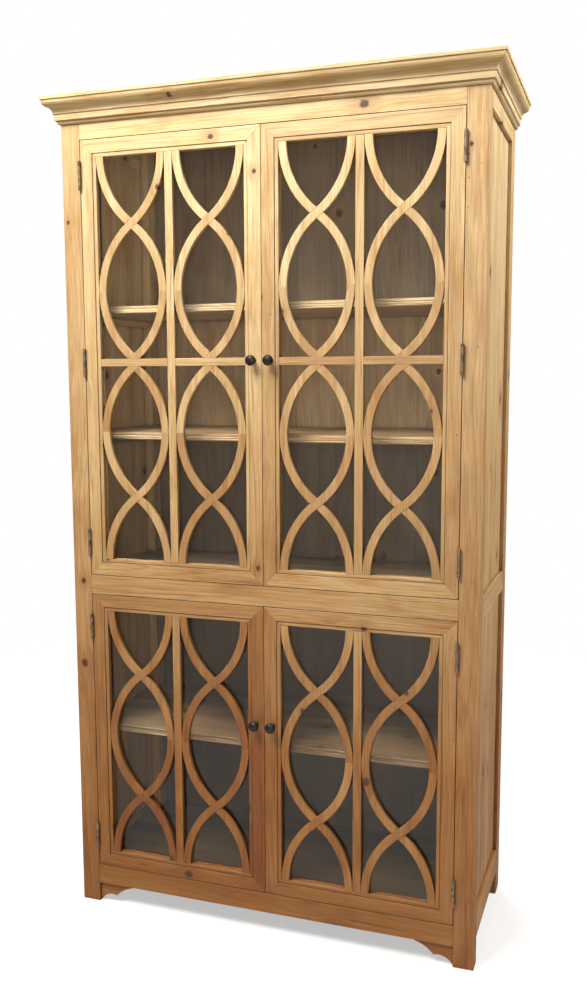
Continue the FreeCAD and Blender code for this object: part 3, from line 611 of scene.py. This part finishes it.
@dataclass(frozen=True)
class PineFinish:
    """Old pine under clear wax."""

    name: str
    cream: Colour = (0.70, 0.575, 0.33)
    honey: Colour = (0.56, 0.41, 0.185)
    late_wood: Colour = (0.38, 0.22, 0.08)
    knot: Colour = (0.07, 0.024, 0.009)
    pit: Colour = (0.06, 0.03, 0.015)
    glaze: Colour = (0.78, 0.63, 0.43)
    vein: Colour = (0.62, 0.45, 0.28)
    # Tint of the painted shade, with some grime, in corners and quirks.
    hollow_shade_and_grime_tint: Colour = (0.24, 0.17, 0.12)
    pale_tone: Colour = (1.06, 1.06, 1.07)
    red_tone: Colour = (0.68, 0.49, 0.33)
    # Tint of the painted shade towards the floor.
    foot_shade_tint: Colour = (0.50, 0.28, 0.11)
    rubbed: Colour = (0.86, 0.72, 0.50)
    ring_spacing: float = 0.0062
    ring_share: float = 0.55
    knots: float = 0.3
    pits: float = 0.07
    glaze_share: float = 0.7
    vein_share: float = 0.7
    halo_share: float = 0.65
    fibre_shades: tuple[float, float] = (0.76, 1.1)
    wear: float = 0.55
    # Share of the painted shade, with some grime, in corners and quirks.
    hollow_shade_and_grime: float = 0.8
    gloss: tuple[float, float] = (0.42, 0.62)
    grime_dulling: float = 0.2
    bump_strength: float = 0.5
    bump_depth: float = 0.0006
    coat: float = 0.08
    coat_roughness: float = 0.35
    # Heights, depth and lift of a painted pool of light on the inner faces of the middle compartment.
    painted_light_span: tuple[float, float] | None = None
    painted_light_depth: float = 0.0
    painted_light_lift: Colour = (2.4, 2.45, 2.3)
    span_edge: float = 0.004

    def painted_light_mask(self, sheet: NodeSheet) -> Socket:
        """Mask the inner faces between two heights, where a painted pool of light lifts the boards'
        colour.

        Args:
            sheet: The tree being written.

        Returns:
            From 0, unlit, to 1, under the painted light.
        """
        _, depth, height = sheet.parts(sheet.place())
        foot, head = self.painted_light_span
        above = sheet.spread(height, foot - self.span_edge, foot + self.span_edge)
        below = sheet.spread(height, head + self.span_edge, head - self.span_edge)
        inside = sheet.math("LESS_THAN", depth, self.painted_light_depth)
        return sheet.times(inside, sheet.times(above, below))

    def wood(self, sheet: NodeSheet, figure: Sequence) -> Socket:
        """Colour a board by its figure, with the painted light of the middle compartment, before the
        painted foot shade, edge wear and the painted hollow shade with grime.

        Args:
            sheet: The tree being written.
            figure: The outputs of the pine figure.

        Returns:
            The colour.
        """
        tone = sheet.node("ShaderNodeAttribute", attribute_name="tone").outputs["Fac"]
        colour = sheet.blend(figure["Streak"], self.cream, self.honey)
        colour = sheet.blend(sheet.times(figure["Rings"], self.ring_share), colour, self.late_wood)
        colour = sheet.tinted(colour, sheet.blend(tone, self.pale_tone, self.red_tone))
        for mark, share, tint in (("Glaze", self.glaze_share, self.glaze),
                                  ("Vein", self.vein_share, self.vein)):
            colour = sheet.blend(sheet.times(figure[mark], share), colour, sheet.tinted(colour, tint))
        fibre = sheet.spread(figure["Fibre"], 0.25, 0.7, *self.fibre_shades)
        colour = sheet.tinted(colour, sheet.whole(fibre, fibre, fibre))
        colour = sheet.blend(sheet.times(figure["Halo"], self.halo_share), colour, self.late_wood)
        # Painted light: the middle compartment's inner faces are lifted brighter.
        if self.painted_light_span:
            colour = sheet.blend(self.painted_light_mask(sheet), colour, sheet.tinted(colour, self.painted_light_lift))
        return colour

    def material(self) -> bpy.types.Material:
        """Build the finish.

        Returns:
            The material.
        """
        made, sheet, shader = NodeSheet.of_material(self.name)
        plank = sheet.node("ShaderNodeAttribute", attribute_name="plank").outputs["Vector"]
        board = {"Plank": plank, "Ring Spacing": self.ring_spacing, "Knots": self.knots,
                 "Pits": self.pits}
        figure = sheet.node("ShaderNodeGroup", board, node_tree=Effects.pine_figure()).outputs
        edges = sheet.node("ShaderNodeGroup", node_tree=Effects.edge_wear()).outputs
        # Painted shade: the wood darkens and warms towards the floor.
        shade_share = sheet.node("ShaderNodeGroup", node_tree=Effects.foot_age()).outputs["Age"]
        foot = sheet.blend(shade_share, (1.0, 1.0, 1.0), self.foot_shade_tint)
        colour = sheet.tinted(self.wood(sheet, figure), foot)
        worn = sheet.times(edges["Rubbed"], self.wear)
        colour = sheet.blend(worn, colour, sheet.tinted(self.rubbed, foot))
        colour = sheet.blend(figure["Knot"], colour, self.knot)
        colour = sheet.blend(figure["Pit"], colour, self.pit)
        # Painted shade, with some grime, darkens corners and quirks.
        hollow_shade_and_grime = sheet.times(edges["Hollow"], self.hollow_shade_and_grime)
        colour = sheet.blend(hollow_shade_and_grime, colour, sheet.tinted(colour, self.hollow_shade_and_grime_tint))
        gloss = sheet.spread(figure["Streak"], 0.0, 1.0, *self.gloss)
        gloss = sheet.math("ADD", gloss, sheet.times(edges["Hollow"], self.grime_dulling))
        sheet.feed(shader, {
            "Base Color": colour, "Roughness": gloss, "Coat Weight": self.coat,
            "Coat Roughness": self.coat_roughness,
            "Normal": sheet.bump(figure["Height"], self.bump_strength, self.bump_depth)})
        return made


@dataclass(frozen=True)
class MetalFinish:
    """Old metal whose polish has gone dull in patches."""

    name: str
    bright: Colour
    dull: Colour
    patch_scale: float = 60.0
    gloss: tuple[float, float] = (0.32, 0.6)
    metallic: float = 1.0
    # Tint of the painted shade, with some grime, in the metal's corners.
    hollow_shade_and_grime_tint: Colour = (0.4, 0.35, 0.3)
    rubbed_radius: float = 0.0008
    grit_fineness: float = 14.0

    def material(self) -> bpy.types.Material:
        """Build the finish.

        Returns:
            The material.
        """
        made, sheet, shader = NodeSheet.of_material(self.name)
        place = sheet.place()
        edges = sheet.node("ShaderNodeGroup", node_tree=Effects.edge_wear())
        sheet.feed(edges, {"Radius": self.rubbed_radius})
        patches = sheet.spread(sheet.noise(place, self.patch_scale, 4.0, 0.65), 0.38, 0.66)
        grit = sheet.noise(place, self.patch_scale * self.grit_fineness, 2.0)
        colour = sheet.blend(patches, self.bright, self.dull)
        # Painted shade, with some grime, darkens the corners.
        colour = sheet.blend(edges.outputs["Hollow"], colour, sheet.tinted(colour, self.hollow_shade_and_grime_tint))
        colour = sheet.blend(edges.outputs["Rubbed"], colour, self.bright)
        sheet.feed(shader, {
            "Base Color": colour, "Roughness": sheet.spread(patches, 0.0, 1.0, *self.gloss),
            "Metallic": self.metallic, "Normal": sheet.bump(grit, 0.35, 0.0002)})
        return made


@dataclass(frozen=True)
class GlassFinish:
    """Clear drawn glass, not quite flat, with a little dust dried on."""

    name: str
    ior: float = 1.3
    body_colour: Colour = (0.97, 0.99, 0.975)
    shadow_colour: Colour = (0.93, 0.95, 0.93)

    def material(self) -> bpy.types.Material:
        """Build the finish, which lets the lamps' light through to the shelves.

        Returns:
            The material.
        """
        made, sheet, shader = NodeSheet.of_material(self.name)
        place = sheet.place()
        waves = sheet.noise(sheet.scaled(place, (9.0, 9.0, 3.0)), 1.0, 1.0)
        smears = sheet.spread(sheet.noise(place, 11.0, 4.0, 0.6), 0.42, 0.75, 0.0, 0.05)
        sheet.feed(shader, {
            "Base Color": (*self.body_colour, 1.0), "Roughness": smears, "IOR": self.ior,
            "Transmission Weight": 1.0, "Normal": sheet.bump(waves, 0.12, 0.002)})
        lamp = sheet.node("ShaderNodeLightPath").outputs["Is Shadow Ray"]
        clear = sheet.node("ShaderNodeBsdfTransparent", {0: (*self.shadow_colour, 1.0)})
        either = sheet.node("ShaderNodeMixShader", {0: lamp, 1: shader.outputs[0], 2: clear.outputs[0]})
        sheet.feed(made.node_tree.nodes["Material Output"], {"Surface": either.outputs[0]})
        return made


class Finishes:
    """Every finish on the cabinet, each made once."""

    def __init__(self) -> None:
        """Build the materials."""
        recipes = {
            "carcass": PineFinish("carcass_pine"),
            "cornice": PineFinish("cornice_pine", knots=0.4, hollow_shade_and_grime=1.0, wear=0.6, ring_share=0.8),
            "door": PineFinish("door_pine", knots=0.34, ring_spacing=0.0055),
            "fretwork": PineFinish("fretwork_pine", knots=0.3, hollow_shade_and_grime=1.0, wear=0.5),
            # The inner finish is a darkened copy of the pine: painted shade inside the cabinet, darker
            # still towards the floor, with a painted pool of light in the middle compartment.
            "inner": PineFinish("inner_pine", cream=(0.37, 0.31, 0.21), honey=(0.31, 0.25, 0.16),
                                foot_shade_tint=(0.20, 0.14, 0.08), wear=0.2, ring_share=0.3,
                                painted_light_span=self.painted_light_compartment(),
                                painted_light_depth=self.back_middle()),
            # The shelves darken more towards the floor: painted foot shade.
            "shelf": PineFinish("shelf_pine", cream=(0.70, 0.57, 0.37), honey=(0.58, 0.44, 0.25),
                                foot_shade_tint=(0.25, 0.155, 0.075)),
        }
        self.pine = {name: recipe.material() for name, recipe in recipes.items()}
        self.glass = GlassFinish("clear_glass").material()
        self.knob = MetalFinish("dark_knob_metal", (0.05, 0.045, 0.038), (0.016, 0.014, 0.012),
                                metallic=0.8).material()
        self.hinge = MetalFinish("aged_hinge_metal", (0.30, 0.21, 0.14), (0.09, 0.06, 0.042),
                                 gloss=(0.45, 0.7), metallic=0.7).material()
        self.catch = MetalFinish("catch_steel", (0.55, 0.54, 0.52), (0.30, 0.29, 0.27)).material()

    @staticmethod
    def painted_light_compartment() -> tuple[float, float]:
        """The foot and head of the space between the middle and the upper shelf, which gets the painted
        light.
        """
        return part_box("shelf_middle")[1].z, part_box("shelf_upper")[0].z

    @staticmethod
    def back_middle() -> float:
        """The depth of the middle of the back boards, between their inner and outer faces."""
        low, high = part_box("back_boards")
        return (low.y + high.y) / 2


class Workshop:
    """What every sub-assembly shares: the timber, the finishes and the way pieces are fitted."""

    SEED = 1107
    WELD = 0.00001
    FLAT_TURN = math.radians(0.5)
    ARRIS_TURN = math.radians(50)
    TIMBER_EASE = 0.0004
    METAL_EASE = 0.00015
    BARREL_TURN = 35.0

    def __init__(self) -> None:
        """Open the workshop."""
        self.timber = Timber(self.SEED)
        self.finishes = Finishes()

    def boards_of(self, node: str, ease: float) -> list[Piece]:
        """Take a copy of a CAD node apart into its boards and ease the arrises it left sharp.

        Args:
            node: The CAD node.
            ease: How much to take off each sharp arris.

        Returns:
            The boards, one object each.
        """
        before = set(bpy.data.objects)
        whole = Bench.copy(frame["nodes"][node], f"{node}_board")
        whole.data.materials.clear()
        with Bench.editing(whole, "VERT"):
            bpy.ops.mesh.remove_doubles(threshold=self.WELD)
            bpy.ops.mesh.dissolve_limited(angle_limit=self.FLAT_TURN)
            bpy.ops.mesh.select_all(action="SELECT")
            bpy.ops.mesh.separate(type="LOOSE")
        boards = sorted((thing for thing in bpy.data.objects if thing not in before),
                        key=lambda thing: thing.name)
        for board in boards:
            Bench.modify(board, "BEVEL", width=ease, segments=1, limit_method="ANGLE",
                         angle_limit=self.ARRIS_TURN, use_clamp_overlap=True)
        return boards

    def fit(self, piece: Piece, body: str, finish: bpy.types.Material, slot: str,
            *nodes: str) -> Piece:
        """Finish a piece, hang it on its body and let it stand for its CAD nodes.

        Args:
            piece: The finished mesh.
            body: The CAD body that it moves with.
            finish: Its material.
            slot: Not used.
            nodes: The CAD nodes that it stands for.

        Returns:
            The piece.
        """
        piece.data.materials.clear()
        piece.data.materials.append(finish)
        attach(piece, body)
        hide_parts(*nodes)
        log.info("%s: %d faces on %s", piece.name, len(piece.data.polygons), body)
        return piece

    def timber_piece(self, node: str, body: str, finish: str, ease: float = TIMBER_EASE,
                     grain: Grain | None = None, tones: Sequence[float] = (),
                     slot: str | None = None) -> Piece:
        """Make one wooden piece from a CAD node, each board with its own figure.

        Args:
            node: The CAD node that the piece stands for.
            body: The CAD body that it moves with.
            finish: The pine finish by name.
            ease: How much to take off each sharp arris.
            grain: The way the fibres run, or None for each board's longest side.
            tones: The boards' tones from the left or from the foot, or none to leave them to luck.
            slot: The record's slot, or None for the one named after the finish.

        Returns:
            The piece.
        """
        boards = sorted(self.boards_of(node, ease), key=lambda board: sum(board.bound_box[0]))
        for number, board in enumerate(boards):
            tone = tones[number] if number < len(tones) else None
            self.timber.mark(board, grain, tone)
        piece = Bench.join(boards, f"{node}_timber")
        Bench.smooth(piece)
        return self.fit(piece, body, self.finishes.pine[finish], slot or f"{finish}_pine", node)

    def metal_piece(self, node: str, body: str, finish: bpy.types.Material, slot: str) -> Piece:
        """Make one metal piece from a CAD node, its barrels shaded round.

        Args:
            node: The CAD node that the piece stands for.
            body: The CAD body that it moves with.
            finish: Its material.
            slot: The record's slot for it.

        Returns:
            The piece.
        """
        piece = Bench.join(self.boards_of(node, self.METAL_EASE), f"{node}_metal")
        Bench.smooth(piece, self.BARREL_TURN)
        return self.fit(piece, body, finish, slot, node)


@dataclass
class Carcass:
    """The posts and rails, and the boards that close the sides, the back and the top."""

    shop: Workshop
    body: str = "carcass"
    front_tones: dict[str, float] = field(default_factory=lambda: {
        "post_front_left": 0.6, "post_front_right": 0.55, "rail_bottom": 0.45, "rail_middle": 0.15,
        "rail_frieze": 0.1})
    side_tones: tuple[float, ...] = (0.0, 0.15, 0.05, 0.1, 0.0, 0.2)
    bracket_ease: float = 0.0012

    def build(self) -> None:
        """Build every carcass board."""
        for node, tone in self.front_tones.items():
            self.shop.timber_piece(node, self.body, "carcass", tones=(tone,))
        for node in ("side_rails_left", "side_rails_right", "side_boards_left", "side_boards_right"):
            self.shop.timber_piece(node, self.body, "carcass", tones=self.side_tones)
        for node in ("post_back_left", "post_back_right", "top_board"):
            self.shop.timber_piece(node, self.body, "carcass")
        for node in ("bracket_left", "bracket_right"):
            self.shop.timber_piece(node, self.body, "carcass", self.bracket_ease, Grain.ACROSS)


@dataclass
class Interior:
    """The back boards, the decks and shelves, and what carries them."""

    shop: Workshop
    body: str = "carcass"
    bead_shares: tuple[float, ...] = (0.3, 0.6)
    bead_width: float = 0.0016
    bead_depth: float = 0.0014
    facing_front: float = -0.9

    def bead(self, shelf: Piece, foot: float) -> None:
        """Scratch one fine line along a shelf's front edge.

        Args:
            shelf: The finished shelf.
            foot: The height of the line's lower side.
        """
        head = foot + self.bead_width
        with Bench.editing(shelf):
            for height in (foot, head):
                bpy.ops.mesh.select_all(action="SELECT")
                bpy.ops.mesh.bisect(plane_co=(0.0, 0.0, height), plane_no=(0.0, 0.0, 1.0))
            Bench.pick_faces(shelf, lambda face: face.normal.y < self.facing_front
                             and foot < face.calc_center_median().z < head)
            bpy.ops.mesh.extrude_region_move(
                TRANSFORM_OT_translate={"value": (0.0, self.bead_depth, 0.0)})

    def build(self) -> None:
        """Build everything behind the doors."""
        for node in ("back_boards", "back_rails", "deck_bottom", "deck_middle", "shelf_cleats",
                     "deck_cleats", "door_stops"):
            self.shop.timber_piece(node, self.body, "inner")
        for node in ("shelf_lower", "shelf_middle", "shelf_upper"):
            shelf = self.shop.timber_piece(node, self.body, "shelf", slot="inner_pine")
            low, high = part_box(node)
            for share in self.bead_shares:
                self.bead(shelf, low.z + share * (high.z - low.z))


@dataclass
class Cornice:
    """The three mitred runs of moulding."""

    shop: Workshop
    body: str = "carcass"
    ease: float = 0.0006

    def build(self) -> None:
        """Build the cornice."""
        for node in ("cornice_front", "cornice_left", "cornice_right"):
            self.shop.timber_piece(node, self.body, "cornice", self.ease)


@dataclass
class Hardware:
    """The hinges' fixed halves, their pins and screws, and the ball catches."""

    shop: Workshop
    body: str = "carcass"

    def build(self) -> None:
        """Build the carcass's metal."""
        for node in ("hinge_leaves_frame", "hinge_screws_frame", "hinge_pins"):
            self.shop.metal_piece(node, self.body, self.shop.finishes.hinge, "aged_hinge_metal")
        self.shop.metal_piece("ball_catches", self.body, self.shop.finishes.catch, "catch_steel")


@dataclass
class Fretwork:
    """The curved slats and straight bars in front of one door's glass."""

    shop: Workshop
    door: str
    tall: bool
    stain: float
    slat_width: float = 0.021
    muntin_width: float = 0.022
    bar_height: float = 0.020
    ease: float = 0.0015
    joint_gap: float = 0.00012
    arc_steps: int = 14
    weld: float = 0.000001
    fewest_faces: int = 4
    wave_tones: tuple[float, float, float] = (-0.25, 0.6, 0.0)
    slat_drift: float = 0.15
    low: Vector = field(init=False)
    high: Vector = field(init=False)

    def __post_init__(self) -> None:
        """Read the opening that the fretwork fills."""
        self.low, self.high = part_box(f"{self.door}_fretwork")

    @property
    def column(self) -> float:
        """The width of one column of waves."""
        return (self.high.x - self.low.x - self.muntin_width) / 2

    @property
    def quarter(self) -> float:
        """The height from a touch with a side to the next crossing."""
        height = self.high.z - self.low.z
        return (height - self.bar_height) / 6 if self.tall else height / 4

    @property
    def reach(self) -> float:
        """How far a slat's middle line swings to each side of its column's middle."""
        return (self.column - self.slat_width) / 2

    def sweep(self, name: str, width: float, ease: float) -> Piece:
        """Sweep a slat about the origin, from the left side of its column to the right.

        Args:
            name: The slat's name.
            width: Its width as seen.
            ease: The rounding of its long arrises.

        Returns:
            The slat.
        """
        radius = (self.reach ** 2 + self.quarter ** 2) / (2 * self.reach)
        angle = math.asin(self.quarter / radius)
        middle = (self.low.y + self.high.y) / 2
        Bench.clear()
        bpy.ops.mesh.primitive_plane_add(size=1, location=(-self.reach, middle, -self.quarter))
        slat = bpy.context.active_object
        slat.name = name
        slat.scale = (width, self.high.y - self.low.y, 1.0)
        Bench.settle(slat)
        with Bench.editing(slat, "VERT"):
            if ease:
                bpy.ops.mesh.bevel(offset=ease, segments=Bench.ARRIS_STEPS, affect="VERTICES")
            bpy.ops.mesh.select_mode(type="FACE")
            bpy.ops.mesh.select_all(action="SELECT")
            for turn, side in ((-angle, -1), (angle, 1)):
                centre = (side * (self.reach - radius), middle, side * self.quarter)
                bpy.ops.mesh.spin(steps=self.arc_steps, angle=turn, center=centre, axis=(0, 1, 0))
            bpy.ops.mesh.select_all(action="SELECT")
            bpy.ops.mesh.remove_doubles(threshold=self.weld)
            bpy.ops.mesh.normals_make_consistent(inside=False)
        return slat

    def falling(self) -> list[Piece]:
        """Cut the slat that falls to the right where the rising one passes through it.

        Returns:
            Its two pieces.
        """
        cutter = self.sweep("slat_cutter", self.slat_width + 2 * self.joint_gap, 0.0)
        slat = self.sweep("slat_falling", self.slat_width, self.ease)
        slat.scale = (-1.0, 1.0, 1.0)
        Bench.settle(slat)
        with Bench.editing(slat):
            bpy.ops.mesh.normals_make_consistent(inside=False)
        Bench.modify(slat, "BOOLEAN", operation="DIFFERENCE", object=cutter, solver="EXACT")
        before = set(bpy.data.objects)
        with Bench.editing(slat):
            bpy.ops.mesh.separate(type="LOOSE")
        bpy.data.objects.remove(cutter)
        return [slat] + sorted(set(bpy.data.objects) - before, key=lambda thing: thing.name)

    def half(self, slat: Piece, upper: bool) -> Piece | None:
        """Saw a slat off level with its crossing.

        Args:
            slat: The slat to copy.
            upper: Whether to keep what is above the crossing.

        Returns:
            What is left, or None if nothing is.
        """
        part = Bench.copy(slat, f"{slat.name}_half")
        with Bench.editing(part):
            bpy.ops.mesh.bisect(plane_co=(0, 0, 0), plane_no=(0, 0, 1), use_fill=True,
                                clear_inner=upper, clear_outer=not upper)
        if len(part.data.polygons) < self.fewest_faces:
            bpy.data.objects.remove(part)
            return None
        return part

    def crossings(self) -> list[tuple[str, float]]:
        """List the crossings of one column from its foot.

        Returns:
            The part of each crossing that is there, and its height.
        """
        sill, quarter = self.low.z, self.quarter
        if not self.tall:
            return [("whole", sill + quarter), ("whole", sill + 3 * quarter)]
        bar = sill + 3 * quarter
        return [("whole", sill + quarter), ("lower", bar), ("upper", bar + self.bar_height),
                ("whole", self.high.z - quarter)]

    def bars(self) -> list[Piece]:
        """Make the muntin and, in a tall door, the crossbar on each side of it.

        Returns:
            The bars.
        """
        low, high = self.low, self.high
        left = low.x + self.column
        timber = self.shop.timber
        made = [timber.mark(Bench.eased("muntin", (left, low.y, low.z),
                                        (left + self.muntin_width, high.y, high.z), self.ease),
                            Grain.UPRIGHT, self.stain)]
        if self.tall:
            foot = low.z + 3 * self.quarter
            for start in (low.x, left + self.muntin_width):
                bar = Bench.eased("crossbar", (start, low.y, foot),
                                  (start + self.column, high.y, foot + self.bar_height), self.ease)
                made.append(timber.mark(bar, Grain.ACROSS, 2 * self.stain))
        return made

    def build(self) -> Piece:
        """Build the door's whole fretwork.

        Returns:
            The piece.
        """
        whole = [self.sweep("slat_rising", self.slat_width, self.ease)] + self.falling()
        masters = {"whole": whole}
        if self.tall:
            for part in ("upper", "lower"):
                halves = [self.half(slat, part == "upper") for slat in whole]
                masters[part] = [slat for slat in halves if slat]
        pieces = self.bars()
        for column in range(2):
            centre = self.low.x + self.column / 2 + column * (self.column + self.muntin_width)
            for part, height in self.crossings():
                tone = self.stain + self.shop.timber.luck.triangular(*self.wave_tones)
                for slat in masters[part]:
                    twin = Bench.copy(slat, "slat", (centre, 0.0, height))
                    drift = self.shop.timber.luck.uniform(-self.slat_drift, self.slat_drift)
                    pieces.append(self.shop.timber.mark(twin, Grain.UPRIGHT, tone + drift))
        for slat in {slat for slats in masters.values() for slat in slats}:
            bpy.data.objects.remove(slat)
        piece = Bench.join(pieces, f"{self.door}_fretwork_slats")
        Bench.smooth(piece)
        return self.shop.fit(piece, self.door, self.shop.finishes.pine["fretwork"], "fretwork_pine",
                             f"{self.door}_fretwork")


@dataclass
class Knob:
    """A turned mushroom knob on a small rose, its profile the radius at each depth from the rose."""

    shop: Workshop
    door: str
    profile: tuple[tuple[float, float], ...] = (
        (0.0085, 0.0), (0.0088, 0.0018), (0.005, 0.0045), (0.0046, 0.0125),
        (0.0121, 0.015), (0.015, 0.02), (0.0117, 0.027), (0.004, 0.029),
    )
    sides: int = 16
    rounding: int = 2
    round_turn: float = 60.0

    def build(self) -> Piece:
        """Turn the knob ring by ring, from its rose to its crown.

        Returns:
            The piece.
        """
        low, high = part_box(f"{self.door}_knob")
        front = low.y + self.profile[-1][1]
        Bench.clear()
        bpy.ops.mesh.primitive_circle_add(vertices=self.sides, radius=self.profile[0][0],
                                          fill_type="NGON")
        knob = bpy.context.active_object
        with Bench.editing(knob):
            for (radius, depth), (wider, further) in zip(self.profile, self.profile[1:]):
                bpy.ops.mesh.extrude_region_move(
                    TRANSFORM_OT_translate={"value": (0.0, 0.0, further - depth)})
                bpy.ops.transform.resize(value=(wider / radius, wider / radius, 1.0),
                                         center_override=(0.0, 0.0, further))
            bpy.ops.mesh.select_all(action="SELECT")
            bpy.ops.mesh.normals_make_consistent(inside=False)
        knob.rotation_euler = (math.pi / 2, 0.0, 0.0)
        knob.location = ((low.x + high.x) / 2, front, (low.z + high.z) / 2)
        Bench.settle(knob)
        Bench.modify(knob, "SUBSURF", levels=self.rounding, render_levels=self.rounding)
        knob.name = f"{self.door}_knob_turned"
        Bench.smooth(knob, self.round_turn)
        return self.shop.fit(knob, self.door, self.shop.finishes.knob, "dark_knob_metal",
                             f"{self.door}_knob")


@dataclass
class Door:
    """One glazed door with everything that moves with it."""

    shop: Workshop
    name: str
    tall: bool
    stile_tones: tuple[float, float]
    rail_tones: tuple[float, float]
    fretwork_stain: float
    glass_clearance: float = 0.0003
    glass_ease: float = 0.0004
    frame_ease: float = 0.0007

    def pane(self) -> Piece:
        """Make the pane, a hair thinner than its rebate so that it touches no slat.

        Returns:
            The piece.
        """
        low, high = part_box(f"{self.name}_glass")
        gap = Vector((0.0, self.glass_clearance, 0.0))
        pane = Bench.block(f"{self.name}_pane", low + gap, high - gap)
        with Bench.editing(pane, "EDGE"):
            bpy.ops.mesh.bevel(offset=self.glass_ease, segments=1, affect="EDGES")
        return self.shop.fit(pane, self.name, self.shop.finishes.glass, "clear_glass",
                             f"{self.name}_glass")

    def build(self) -> None:
        """Build the door's frame, pane, glazing strips, fretwork, knob and hinge leaves."""
        for part, tones in (("stiles", self.stile_tones), ("rails", self.rail_tones)):
            self.shop.timber_piece(f"{self.name}_{part}", self.name, "door", self.frame_ease,
                                   tones=tones)
        self.shop.timber_piece(f"{self.name}_glazing_strips", self.name, "door")
        self.pane()
        Fretwork(self.shop, self.name, self.tall, self.fretwork_stain).build()
        Knob(self.shop, self.name).build()
        self.shop.metal_piece(f"{self.name}_hinge_leaves", self.name, self.shop.finishes.hinge,
                              "aged_hinge_metal")


@dataclass
class Studio:
    """A pale floor, soft lights and the camera."""

    camera_place: Point = (0.91, -2.587, 1.488)
    camera_turn: float = 19.17
    camera_tilt: float = 6.98
    camera_roll: float = -0.18
    lens: float = 36.0
    sensor_width: float = 36.0
    floor_size: float = 60.0
    floor_drop: float = 0.0005
    floor_roughness: float = 0.9
    floor_cast: Colour = (0.42, 0.40, 0.37)
    floor_seen: Colour = (0.92, 0.92, 0.91)
    floor_fade: tuple[float, float] = (0.3, 3.2)
    near_glow: float = 0.45
    world_seen: float = 1.0
    world_cast: float = 0.2
    lamp_colour: Colour = (1.0, 0.97, 0.93)

    @staticmethod
    def in_sight(sheet: NodeSheet) -> Socket:
        """Tell what is looked at, plainly or through a pane, from what only lights the cabinet.

        Args:
            sheet: The tree being written.

        Returns:
            1 for what is looked at and 0 for the rest.
        """
        path = sheet.node("ShaderNodeLightPath").outputs
        looked = sheet.math("MAXIMUM", path["Is Camera Ray"], path["Is Transmission Ray"])
        return sheet.times(looked, sheet.math("LESS_THAN", path["Diffuse Depth"], 0.5))

    def floor(self) -> None:
        """Lay a pale floor that goes over into the pale surroundings."""
        Bench.clear()
        bpy.ops.mesh.primitive_plane_add(size=self.floor_size, location=(0.0, 0.0, -self.floor_drop))
        floor = bpy.context.active_object
        floor.name = "studio_floor"
        made, sheet, shader = NodeSheet.of_material("studio_floor")
        seen = self.in_sight(sheet)
        pale = sheet.blend(seen, self.floor_cast, self.floor_seen)
        sheet.feed(shader, {"Base Color": pale, "Roughness": self.floor_roughness})
        distance = sheet.vector("LENGTH", sheet.place())
        far = sheet.spread(distance, *self.floor_fade, self.near_glow, 1.0)
        glow = sheet.node("ShaderNodeEmission", {0: (1.0, 1.0, 1.0, 1.0), 1: 1.0})
        mixed = sheet.node("ShaderNodeMixShader", {0: sheet.times(far, seen), 1: shader.outputs[0],
                                                   2: glow.outputs[0]})
        sheet.feed(made.node_tree.nodes["Material Output"], {"Surface": mixed.outputs[0]})
        floor.data.materials.append(made)

    def surroundings(self) -> None:
        """Set pale surroundings, which look brighter than the light that they give."""
        world = bpy.data.worlds.new("studio_world")
        world.use_nodes = True
        bpy.context.scene.world = world
        sheet = NodeSheet(world.node_tree)
        lift = self.world_seen - self.world_cast
        strength = sheet.math("MULTIPLY_ADD", self.in_sight(sheet), lift, self.world_cast)
        sheet.feed(world.node_tree.nodes["Background"],
                   {"Color": (1.0, 1.0, 1.0, 1.0), "Strength": strength})

    def softbox(self, name: str, place: Point, aim: Point, size: float, power: float) -> None:
        """Hang one soft light.

        Args:
            name: The light's name.
            place: Where it hangs.
            aim: What it points at.
            size: The length of its sides.
            power: Its power in watts.
        """
        lamp = bpy.data.lights.new(name, "AREA")
        lamp.shape = "RECTANGLE"
        lamp.size = lamp.size_y = size
        lamp.energy = power
        lamp.color = self.lamp_colour
        holder = bpy.data.objects.new(name, lamp)
        bpy.context.scene.collection.objects.link(holder)
        holder.visible_camera = False
        holder.location = place
        holder.rotation_euler = (Vector(aim) - Vector(place)).to_track_quat("-Z", "Y").to_euler()

    def camera(self) -> None:
        """Stand the camera a little right of the cabinet, at eye height."""
        eye = bpy.data.cameras.new("studio_camera")
        eye.lens = self.lens
        eye.sensor_width = self.sensor_width
        holder = bpy.data.objects.new("studio_camera", eye)
        bpy.context.scene.collection.objects.link(holder)
        holder.matrix_world = (
            Matrix.Translation(self.camera_place)
            @ Matrix.Rotation(math.radians(self.camera_turn), 4, "Z")
            @ Matrix.Rotation(math.radians(90.0 - self.camera_tilt), 4, "X")
            @ Matrix.Rotation(math.radians(self.camera_roll), 4, "Z")
        )
        bpy.context.scene.camera = holder

    def build(self) -> None:
        """Set up the studio."""
        self.floor()
        self.surroundings()
        self.softbox("key", (-0.9, -1.9, 4.0), (0.0, -0.2, 1.5), 1.5, 230.0)
        self.softbox("side", (2.8, 0.5, 3.6), (0.5, 0.0, 1.5), 1.5, 160.0)
        self.softbox("fill", (1.2, -3.6, 1.6), (0.0, -0.2, 1.5), 0.9, 30.0)
        self.softbox("back", (-1.2, 3.2, 3.0), (0.0, 0.3, 1.1), 1.6, 90.0)
        self.camera()
        bpy.context.scene.view_settings.view_transform = "Standard"


def main() -> None:
    """Build the cabinet in order and light it."""
    logging.basicConfig(level=logging.INFO, format="%(name)s %(message)s")
    shop = Workshop()
    Carcass(shop).build()
    Interior(shop).build()
    Cornice(shop).build()
    Hardware(shop).build()
    Door(shop, "door_upper_left", True, (0.20, 0.10), (0.20, 0.10), 0.15).build()
    Door(shop, "door_upper_right", True, (0.45, 0.40), (0.10, 0.55), 0.3).build()
    Door(shop, "door_lower_left", False, (0.55, 1.0), (0.65, 0.50), 0.55).build()
    Door(shop, "door_lower_right", False, (0.60, 0.30), (0.50, 0.25), 0.35).build()
    Studio().build()


if __name__ == "__main__":
    main()
